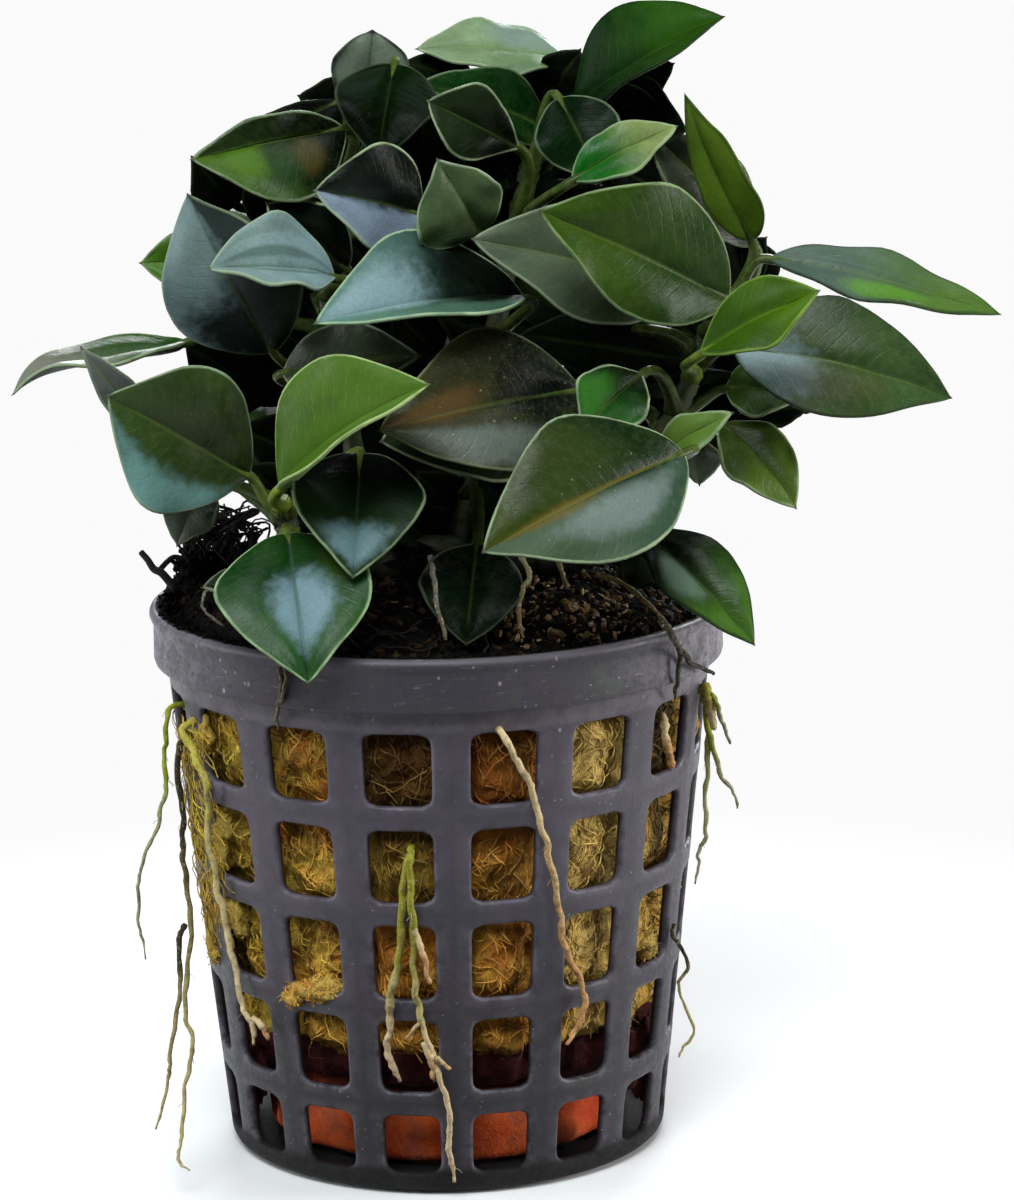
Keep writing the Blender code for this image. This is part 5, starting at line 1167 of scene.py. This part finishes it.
def build_leaf(name, stem, place, base, tip, width, face, arch, fold, shape, look, seed, node, fine=True):
    ACROSS, ALONG = grid(fine)
    b = Blade(base, tip, width, face, arch, fold, **shape)
    rng = random.Random(seed)
    wave, turns = look.get("wave", 0.30), rng.uniform(1.6, 2.6)
    phase = {-1: rng.uniform(0, 1), 1: rng.uniform(0, 1)}
    dome = look.get("dome", 0.26)
    nu, nt = len(ALONG), len(ACROSS)
    M = np.zeros((nu, nt, 3))
    X, W = np.zeros((nu, nt)), np.zeros((nu, nt))
    for i, u in enumerate(ALONG):
        c = b.midrib(u)
        hw = half_width(u, b.wide, b.blunt)
        for j, t in enumerate(ACROSS):
            sg = 1 if t > 0 else -1
            s = abs(t)
            w = b.width / 2 * hw * (1 + b.asym * sg)
            x = w * s
            h = x * sin(b.fold) + dome * w * s * (1 - s) + wave * s * s * sin(2 * pi * (turns * u + phase[sg])) * min(1.0, w / 3)
            h -= 0.16 * exp(-(x / 0.5) ** 2) * min(1.0, w / 1.5)
            h += 0.34 * noise.noise(Vector((u * 3.2, t * 1.8, seed * 1.7))) * min(1.0, w / 3)
            edge = (0.10 * noise.noise(Vector((u * 9 + seed, sg * 3.0, 0.0))) + 0.42 * noise.noise(Vector((u * 3.4 + seed, sg * 5.0, 2.0))) * min(1.0, w / 3)) * s
            q = c + b.side * (sg * (x * cos(b.fold) + edge)) + b.normal * h
            M[i, j] = q
            X[i, j], W[i, j] = x, w
    dU, dT = np.gradient(M, axis=0), np.gradient(M, axis=1)
    N = np.cross(dU, dT)
    N /= np.maximum(np.linalg.norm(N, axis=2, keepdims=True), 1e-9)
    if (N[nu // 2, nt // 2] @ np.array(b.normal)) < 0:
        N = -N
    T = dT / np.maximum(np.linalg.norm(dT, axis=2, keepdims=True), 1e-9)
    # thickness: fullest at the midrib, rounded and slightly rolled at the margin
    S = np.abs(np.array(ACROSS))[None, :]
    U = np.array(ALONG)[:, None]
    end = np.minimum(1.0, (1 - U) * 9 + 0.25) * np.minimum(1.0, U * 12 + 0.3)
    th = (0.13 + 0.09 * (1 - S) + 0.05 * np.exp(-((1 - S) * W / 0.3) ** 2)) * end
    keel = 0.32 * np.exp(-(X / 0.55) ** 2) * (1 - U) * end
    up, low = M + N * th[..., None], M - N * (th + keel)[..., None]
    rim0, rim1 = M[:, 0] - T[:, 0] * 0.09, M[:, -1] + T[:, -1] * 0.09
    verts, a, c, faces = [], [], [], []
    loop = 2 * nt + 2
    for i, u in enumerate(ALONG):
        for j in range(nt):
            verts.append(tuple(up[i, j])); a.append((u, ACROSS[j], W[i, j] - X[i, j])); c.append((X[i, j], 1.0, W[i, j]))
        verts.append(tuple(rim1[i])); a.append((u, 1.0, 0.0)); c.append((X[i, -1], 1.0, W[i, -1]))
        for j in range(nt - 1, -1, -1):
            verts.append(tuple(low[i, j])); a.append((u, ACROSS[j], W[i, j] - X[i, j])); c.append((X[i, j], 0.0, W[i, j]))
        verts.append(tuple(rim0[i])); a.append((u, -1.0, 0.0)); c.append((X[i, 0], 1.0, W[i, 0]))
    for i in range(nu - 1):
        for k in range(loop):
            k2 = (k + 1) % loop
            faces.append((i * loop + k, i * loop + k2, (i + 1) * loop + k2, (i + 1) * loop + k))
    point = b.midrib(1.0) + b.along.normalized() * 0.25 - b.normal * 0.05
    root = b.midrib(0.0) - b.along.normalized() * 0.1
    verts += [tuple(point), tuple(root)]
    a += [(1.0, 0.0, 0.0), (0.0, 0.0, 0.0)]
    c += [(0.0, 1.0, 0.0), (0.0, 1.0, 0.0)]
    P, R = len(verts) - 2, len(verts) - 1
    for k in range(loop):
        k2 = (k + 1) % loop
        faces.append(((nu - 1) * loop + k, (nu - 1) * loop + k2, P))
        faces.append((k2, k, R))
    bag = Bag()
    bag.add(verts, faces, a, c)
    # stalk, which runs on under the blade as its keel
    p, tg, r = stem_point(stem, place)
    out = b.base - p
    out = (out - tg * out.dot(tg)).normalized()
    start = p + out * (r * 0.3)
    run = (b.base - start).length
    d0 = (out + tg * 0.6).normalized()
    d1 = (b.midrib(0.04) - b.midrib(0.0)).normalized()
    p1, p2 = start + d0 * run * 0.35, b.base - d1 * run * 0.3
    path = []
    for i in range(13):
        s = i / 13
        path.append(start * (1 - s) ** 3 + p1 * 3 * s * (1 - s) ** 2 + p2 * 3 * s * s * (1 - s) + b.base * s ** 3 - b.normal * 0.1 * s)
    for u in (0.0, 0.05, 0.11, 0.18, 0.27, 0.36):
        path.append(b.midrib(u) - b.normal * (0.16 + 0.25 * u))
    total = len(path) - 1
    thick = look.get("stalk_r", 0.56)

    def radius(s):
        k = s * total
        if k < 13:
            return thick * (1.35 - 0.45 * (k / 13)) * (1.0 + 0.5 * exp(-(k / 1.2) ** 2))
        return thick * 0.9 * (1 - (k - 13) / (total - 13 + 0.6)) + 0.05
    n0 = len(bag.v)
    strand(bag, path, radius, 9, squash=0.85)
    for i in range(n0, len(bag.v)):
        s = bag.a[i][0]
        bag.a[i] = (0.3 * s, 0.0, 9.0)
        bag.c[i] = (9.0, 2.0, 1.0)
    young = name in YOUNG
    return bag.piece(name + "_blade", leaf_finish("waxy_" + name, look), "leaf_young" if young else "leaf_green", [node] if node else ())


YOUNG = ("leaf_06", "leaf_14", "leaf_17", "leaf_20", "leaf_29", "leaf_35", "leaf_back_6", "leaf_60")
# tones for leaves at the back; the pale grey patches in the fourth and fifth tones are painted reflections
BACK_TONES = (dict(base=(46, 80, 32), tip=(72, 110, 48)), dict(base=(30, 68, 26), tip=(54, 92, 38)), dict(base=(70, 86, 58), tip=(96, 114, 84)),
              dict(base=(22, 66, 24), tip=(44, 98, 36), patches=((0.5, 0.3, 0.3, 0.5, (112, 140, 136), 0.6),)), dict(base=(54, 72, 30), tip=(88, 104, 50), patches=((0.6, -0.4, 0.25, 0.4, (108, 122, 104), 0.5),)))


def build_leaves():
    k = 0
    for rows, has_solid in ((LEAVES, True), (SMALL_LEAVES, False)):
        for row in rows:
            name = row[0]
            look = LOOKS.get(name)
            if look is None:
                # near-black undersides: painted shade on the faces seen through gaps in the bush
                look = dict(BACK_TONES[k % len(BACK_TONES)], edge=0.75, under=(14, 22, 12), under_2=(22, 32, 16), under_edge=0.12, stalk=(34, 46, 18))
                if name in YOUNG:
                    look = dict(base=(88, 132, 24), tip=(96, 138, 34), edge=0.6)
            build_leaf(*row, look, k + 1, name if has_solid else None)
            k += 1
    for i, (b, t, width, face) in enumerate(DEEP_LEAVES):
        base, tip = at_depth(*b), at_depth(*t)
        stem = min(("stem_left", "stem_right", "stem_top", "stem_upper_left"), key=lambda n: (stem_point(n, 0.7)[0] - base).length)
        place = min((0.1, 0.3, 0.5, 0.7, 0.9), key=lambda u: (stem_point(stem, u)[0] - base).length)
        # near-black upper side: painted shade; the underside stays green
        look = dict(base=(3, 6, 3), tip=(6, 12, 5), under=(34, 58, 26), under_2=(54, 78, 40), under_edge=0.5, stalk=(12, 18, 8), stalk_2=(20, 26, 12), edge=0.28,
                    edge_colour=(60, 72, 50), dots=0.05, dirt=0.02, mottle=0.12, rib=0.1, spec=0.02, rough=0.5)
        build_leaf("leaf_deep_%02d" % (i + 1), stem, place, base, tip, width, face, 0.6, 10, dict(), look, 200 + i, None, False)


# ---------------------------------------------------------------- roots
ROOTS = {
    "root_left_outer": (((-71, 43.2, 1.2), (-69.5, 37.5, 2.5), (-68.5, 34, 3.5), (-68, 29.5, 6), (-69, 25, 7), (-68.5, 20, 7)), 0.28, 0.13),
    "root_left_long": (((-66.5, 40.5, 1.2), (-67, 33.5, 1.8), (-65.5, 29.5, 2.5), (-62.5, 24.5, 3), (-57.5, 16, 6), (-55.5, 13.5, 6),
                        (-54.5, 8.5, 8), (-52, 4, 10), (-49.5, 2.5, 10)), 0.34, 0.15),
    "root_left_thick": (((-63, 42.5, 1.1), (-60, 40.5, 1.1), (-55.5, 38, 1.1), (-57, 34.5, 1.1), (-56.5, 27, 1.1), (-55, 22, 1.1), (-53, 17, 1.1),
                         (-50, 15, 1.1), (-50, 12.8, 1.1)), 0.39, 0.25),
    "root_centre": (((-6, 33, 1.1), (-6, 29, 1.1), (-6, 24, 1.1), (-5.5, 19.5, 1.1), (-3, 15, 1.1), (-0.5, 11.5, 1.1), (1.5, 8, 1.1), (1, 5, 1.1), (2, 1.6, 1.1)), 0.38, 0.24),
    "root_right_pale": (((13.5, 44, 1.1), (18, 40, 1.1), (21, 36, 1.1), (24.5, 30, 1.1), (27.5, 24, 1.1), (33, 19, 1.1), (33, 16.5, 1.1), (29, 14, 1.1)), 0.33, 0.27),
    "root_right_side": (((76.5, 43, 1.1), (74.5, 38, 1.1), (72, 31, 2), (71.5, 28.5, 1.6), (71.5, 25.5, 1.6)), 0.32, 0.14),
}


def wander(path, amount, seed):
    out = []
    for i, q in enumerate(path):
        k = min(i, len(path) - 1 - i, 4) / 4
        w = Vector((noise.noise(q * 0.55 + Vector((seed, 0, 0))), noise.noise(q * 0.55 + Vector((0, seed, 0))), noise.noise(q * 0.55 + Vector((0, 0, seed)))))
        out.append(q + w * amount * k)
    return out


def root_strand(bag, path, r0, r1, seed, amount=0.35, sides=9):
    path = wander(path, amount, seed)
    path = [q + Vector((noise.noise(q * 1.9), noise.noise(q * 1.9 + Vector((5, 0, 0))), 0.0)) * 0.13 for q in path]

    def radius(s):
        q = path[min(int(s * (len(path) - 1)), len(path) - 1)]
        knot = 1 + 0.34 * noise.noise(q * 1.5 + Vector((seed, seed, 0))) + 0.2 * noise.noise(q * 4.0)
        return (r0 + (r1 - r0) * s) * knot * (1 if s < 0.96 else 0.6)
    strand(bag, path, radius, sides)
    return path


def build_roots():
    pale = root_finish("root_yellow_green", (150, 148, 44), (214, 188, 150), 0.4)
    long_ = root_finish("root_brown", (44, 38, 20), (186, 172, 112), 0.4)
    ivory = root_finish("root_ivory", (222, 200, 150), (206, 154, 98), 0.5)
    green = root_finish("root_green", (150, 158, 36), (168, 164, 134), 0.35)
    faint = root_finish("root_faint", (96, 94, 70), (112, 106, 86), 0.3)
    yellow = root_finish("root_yellow", (190, 180, 74), (226, 204, 156), 0.35)
    low = root_finish("root_low", (212, 188, 140), (206, 158, 108), 0.45)
    dark = root_finish("root_dark", (26, 24, 14), (40, 38, 26))
    mats = {"root_left_outer": green, "root_left_long": long_, "root_left_thick": yellow, "root_centre": pale, "root_right_pale": ivory, "root_right_side": green}
    rng = random.Random(3)
    hairs = Bag()
    for k, (name, (pts, r0, r1)) in enumerate(ROOTS.items()):
        bag = Bag()
        path = [on_wall(*p) for p in pts]
        # each root starts behind the lattice, in the plug
        first = path[0].copy()
        inward = Vector((first.x, first.y, 0)).normalized()
        lead = first - inward * 2.6 + Vector((0, 0, 0.5))
        path = root_strand(bag, smooth_path([lead] + path, 9), r0, r1, 3.0 + k)
        bag.piece(name + "_fine", mats[name], "root", [name])
        for i in range(4, len(path) - 2):
            if rng.random() < 0.16:
                q = path[i]
                d = Vector((rng.uniform(-1, 1), rng.uniform(-1, 1), rng.uniform(-0.8, 0.4))).normalized()
                strand(hairs, [q, q + d * 0.3, q + d * 0.6 + Vector((0, 0, -0.15)), q + d * 0.8 + Vector((0, 0, -0.4))], 0.03, 3, close=False)
    # side roots and finer roots that have no solid of their own
    extra = {
        "side_root_left": ([on_wall(*p) for p in ((-63.5, 23.5, 3.5), (-62, 22.5, 4.5), (-60, 18.5, 5.5), (-57.5, 12.5, 8), (-58, 9.5, 8.5), (-57.5, 5.5, 10.5))], 0.3, 0.14, long_),
        "side_root_centre_left": ([on_wall(*p) for p in ((-6, 33, 1.0), (-7.5, 30, 1), (-9, 24, 1), (-11.5, 19, 1), (-11.5, 16.5, 1), (-12.5, 14.5, 1), (-10, 11.5, 1))], 0.42, 0.3, pale),
        "side_root_centre_right": ([at_wall(*p) for p in ((413, 926, 1.0), (420, 944, 1.0), (425, 962, 1.1), (430, 984, 1.1))], 0.34, 0.22, low),
        "side_root_centre_tip": ([at_wall(*p) for p in ((421, 1022, 1.1), (412, 1030, 1.0), (406, 1040, 0.8))], 0.26, 0.16, low),
        "side_root_centre_low": ([at_wall(*p) for p in ((424, 1042, 1.1), (430, 1062, 1.2), (434, 1080, 1.1))], 0.36, 0.24, low),
        "side_root_centre_spur": ([at_wall(*p) for p in ((436, 1058, 1.2), (444, 1064, 1.2), (450, 1070, 1.2))], 0.26, 0.16, low),
        "side_root_thick_fork": ([at_wall(*p) for p in ((253, 1018, 1.2), (262, 1026, 1.2), (269, 1040, 1.0))], 0.34, 0.2, low),
        "root_right_side_long": ([on_wall(*p) for p in ((76.5, 43.5, .5), (74.5, 40.5, 1), (75, 36, 2.5), (75.5, 34, 4), (75.5, 32.5, 4.5))], 0.34, 0.12, green),
        "root_right_side_short": ([at_depth(*p) for p in ((705, 686, -7), (716, 703, -8), (723, 722, -8), (730, 744, -8))], 0.3, 0.14, green),
        "root_right_side_green": ([at_depth(*p) for p in ((704, 684, -7), (709, 700, -7.5), (712, 716, -8), (714, 730, -8))], 0.62, 0.26, yellow),
        "root_right_low": ([on_wall(*p) for p in ((67, 22, .5), (67.5, 21, .5), (68, 18, 2), (67.5, 16, 1.5), (69, 11.5, 3), (68.5, 10, 2.5), (67.5, 9, 2))], 0.2, 0.12, long_),
        "root_window_right": ([at_wall(*p) for p in ((662, 716, -1.2), (664, 730, 0.0), (668, 748, 0.3), (672, 768, 0.2))], 0.42, 0.36, ivory),
        "root_over_collar": ([at_wall(*p) for p in ((279, 668, 1.5), (280, 682, 1.5), (279, 700, 1.1), (277, 716, 0.6), (278, 730, 0.5))], 0.24, 0.16, faint),
        "root_over_collar_2": ([at_wall(*p) for p in ((286, 672, 1.5), (284, 690, 1.5), (280, 706, 0.9), (275, 722, 0.5))], 0.20, 0.12, faint),
        "root_over_lip": ([at_depth(661, 621, -22.5), at_depth(668, 629, -24.5), at_depth(674, 637, -23.5), at_wall(680, 650, 2.0), at_wall(679, 664, 1.7), at_wall(677, 680, 1.6), at_wall(675, 698, 0.8)], 0.34, 0.2, dark),
        "root_over_lip_branch": ([at_wall(682, 652, 1.9), at_wall(691, 661, 1.8), at_wall(704, 668, 1.9), at_wall(714, 674, 2.4)], 0.3, 0.18, dark),
        "root_over_soil_1": ([at_depth(521, 556, -16), at_depth(528, 573, -18), at_depth(522, 592, -20), at_depth(518, 618, -21.5), at_depth(523, 638, -22)], 0.25, 0.17, root_finish("root_tan", (120, 116, 84), (96, 84, 52))),
        "root_over_soil_2": ([at_depth(556, 556, -15), at_depth(562, 570, -16.5), at_depth(567, 588, -18)], 0.26, 0.2, root_finish("root_tan_2", (110, 104, 72), (90, 78, 48))),
        "root_over_soil_3": ([at_depth(430, 556, -17), at_depth(434, 580, -19), at_depth(438, 606, -21), at_depth(446, 640, -22.5)], 0.26, 0.18, root_finish("root_grey", (96, 94, 84), (84, 78, 66))),
        "root_over_soil_5": ([at_depth(224, 574, -14), at_depth(209, 588, -16), at_depth(203, 601, -17.5), at_depth(209, 615, -18.5), at_depth(224, 626, -19.5)], 0.15, 0.12, root_finish("root_grey_2", (92, 92, 82), (80, 78, 66))),
        "root_over_soil_4": ([at_depth(598, 575, -16), at_depth(625, 585, -18), at_depth(645, 600, -20), at_depth(664, 622, -21)], 0.24, 0.18, root_finish("root_tan_3", (112, 92, 58), (84, 66, 40))),
    }
    for k, (name, (path, r0, r1, mat)) in enumerate(extra.items()):
        bag = Bag()
        path = root_strand(bag, smooth_path(path, 8), r0, r1, 20.0 + k, 0.22, 8)
        bag.piece(name, mat, "root")
    hairs.piece("root_hairs", root_finish("root_hair", (150, 146, 96), (190, 178, 150)), "root")


# ---------------------------------------------------------------- build everything
build_pot(pot_finish())
rough_ring("clay_block", ((0.03, FLOOR_T + GAP), (8.0, FLOOR_T + GAP), (CLAY_R - 1.6, FLOOR_T + GAP), (CLAY_R - 0.9, FLOOR_T + 0.7), (CLAY_R - 0.6, FLOOR_T + 1.3), (CLAY_R - 0.5, 3.4), (CLAY_R - 0.5, 4.4),
                          (CLAY_R - 0.5, 5.6), (CLAY_R - 0.6, 6.8), (CLAY_R - 0.8, CLAY_TOP - 1.2), (CLAY_R - 1.2, CLAY_TOP - 0.5), (CLAY_R - 2.0, CLAY_TOP - 0.1), (CLAY_R - 3.4, CLAY_TOP),
                          (9.0, CLAY_TOP), (4.0, CLAY_TOP), (0.03, CLAY_TOP)), clay_finish(), "fired_clay", "clay_weight", 0.45, 2.0, 160)
build_wool(wool_finish("rockwool_matted"), wool_finish("rockwool_fibre", True))
build_soil(soil_finish("wet_soil"), soil_finish("soil_crumbs", 0.9), bark_finish("husk", (142, 116, 80), (74, 56, 36), (196, 182, 150)),
           bark_finish("dead_root", (10, 9, 8), (26, 22, 18), (54, 44, 32)))
build_stems(stem_finish())
build_leaves()
build_roots()


# ---------------------------------------------------------------- surroundings
def stage_mesh(name, verts, faces, mat):
    me = bpy.data.meshes.new(name)
    me.from_pydata(verts, [], faces)
    me.materials.append(mat)
    ob = bpy.data.objects.new(name, me)
    scene.collection.objects.link(ob)
    return ob


floor_m = Mat("pale_floor")
fp = floor_m.place()
floor_mat = floor_m.set(colour=floor_m.mix(floor_m.noise(fp, 0.01, 3.0), srgb(244, 244, 244), srgb(250, 250, 250)), rough=0.85, spec=0.1)
R = 6.0
floor = stage_mesh("floor", [(R * cos(2 * pi * i / 64), R * sin(2 * pi * i / 64), -0.0002) for i in range(64)], [tuple(range(64))], floor_mat)

floor.visible_diffuse = False

# a pale dome that only closes the view; it lights nothing
dome_m = bpy.data.materials.new("pale_surround")
dome_m.use_nodes = True
dn = dome_m.node_tree
dn.nodes.clear()
do, de = dn.nodes.new("ShaderNodeOutputMaterial"), dn.nodes.new("ShaderNodeEmission")
de.inputs["Color"].default_value = (1, 1, 1, 1)
de.inputs["Strength"].default_value = 0.96
dc, dm, dt = dn.nodes.new("ShaderNodeTexCoord"), dn.nodes.new("ShaderNodeVectorMath"), dn.nodes.new("ShaderNodeMapRange")
dx, dk = dn.nodes.new("ShaderNodeBsdfTransparent"), dn.nodes.new("ShaderNodeMixShader")
dm.operation = "LENGTH"
dt.interpolation_type = "SMOOTHSTEP"
for k, v in ((1, 0.024), (2, 0.13), (3, 0.0), (4, 1.0)):
    dt.inputs[k].default_value = v
dn.links.new(dc.outputs["Object"], dm.inputs[0])
dn.links.new(dm.outputs["Value"], dt.inputs[0])
dn.links.new(dt.outputs[0], dk.inputs[0])
dn.links.new(dx.outputs[0], dk.inputs[1])
dn.links.new(de.outputs[0], dk.inputs[2])
dn.links.new(dk.outputs[0], do.inputs["Surface"])
dv, df = [], []
profile = [(0.023, -0.0001), (0.05, -0.0001), (0.12, -0.0001), (0.2, -0.0001), (0.4, -0.0001), (1.0, -0.0001), (3.0, -0.0001)] + [(5.9 * cos(pi / 2 * j / 12), 5.9 * sin(pi / 2 * j / 12)) for j in range(13)]
for r, z in profile:
    for i in range(64):
        g = 2 * pi * i / 64
        dv.append((r * cos(g), r * sin(g), z))
for j in range(len(profile) - 1):
    for i in range(64):
        k = (i + 1) % 64
        df.append((j * 64 + i, j * 64 + k, (j + 1) * 64 + k, (j + 1) * 64 + i))
dome = stage_mesh("surround", dv, df, dome_m)
dome.visible_diffuse = dome.visible_glossy = dome.visible_transmission = dome.visible_shadow = dome.visible_volume_scatter = False

world = bpy.data.worlds.new("soft_room")
world.use_nodes = True
world.node_tree.nodes["Background"].inputs["Color"].default_value = (0.93, 0.96, 1.0, 1.0)
world.node_tree.nodes["Background"].inputs["Strength"].default_value = 0.07
scene.world = world


def softbox(name, where, size, power, colour, aim=(0.0, 0.0, 0.06)):
    L = bpy.data.lights.new(name, "AREA")
    L.shape = "RECTANGLE"
    L.size, L.size_y = size
    L.energy = power
    L.color = colour
    ob = bpy.data.objects.new(name, L)
    ob.location = where
    ob.rotation_euler = (Vector(aim) - Vector(where)).to_track_quat("-Z", "Y").to_euler()
    scene.collection.objects.link(ob)
    return ob


softbox("key", (-0.16, -0.62, 0.86), (0.60, 0.45), 10.0, (0.92, 0.97, 1.0))
softbox("top", (0.10, 0.05, 1.05), (0.50, 0.50), 3.0, (0.90, 0.96, 1.0))
softbox("side_right", (0.95, -0.05, 0.18), (0.4, 0.5), 9.0, (1.0, 0.99, 0.97))
softbox("back", (0.10, 0.90, 0.30), (0.5, 0.5), 9.0, (0.95, 0.98, 1.0))
softbox("side_left", (-0.95, -0.05, 0.18), (0.4, 0.5), 5.0, (0.96, 0.98, 1.0))

cam_data = bpy.data.cameras.new("view")
cam_data.sensor_fit = "VERTICAL"
cam_data.sensor_height = 36.0
cam_data.lens = 36.0 * FOCAL_PX / 1200.0
cam_data.clip_start, cam_data.clip_end = 0.01, 50.0
cam = bpy.data.objects.new("view", cam_data)
rot = Matrix((RIGHT, UP, -FORWARD)).transposed()
cam.matrix_world = Matrix.Translation(EYE * MM) @ rot.to_4x4()
scene.collection.objects.link(cam)
scene.camera = cam
scene.view_settings.view_transform = "Standard"
scene.view_settings.look = "None"
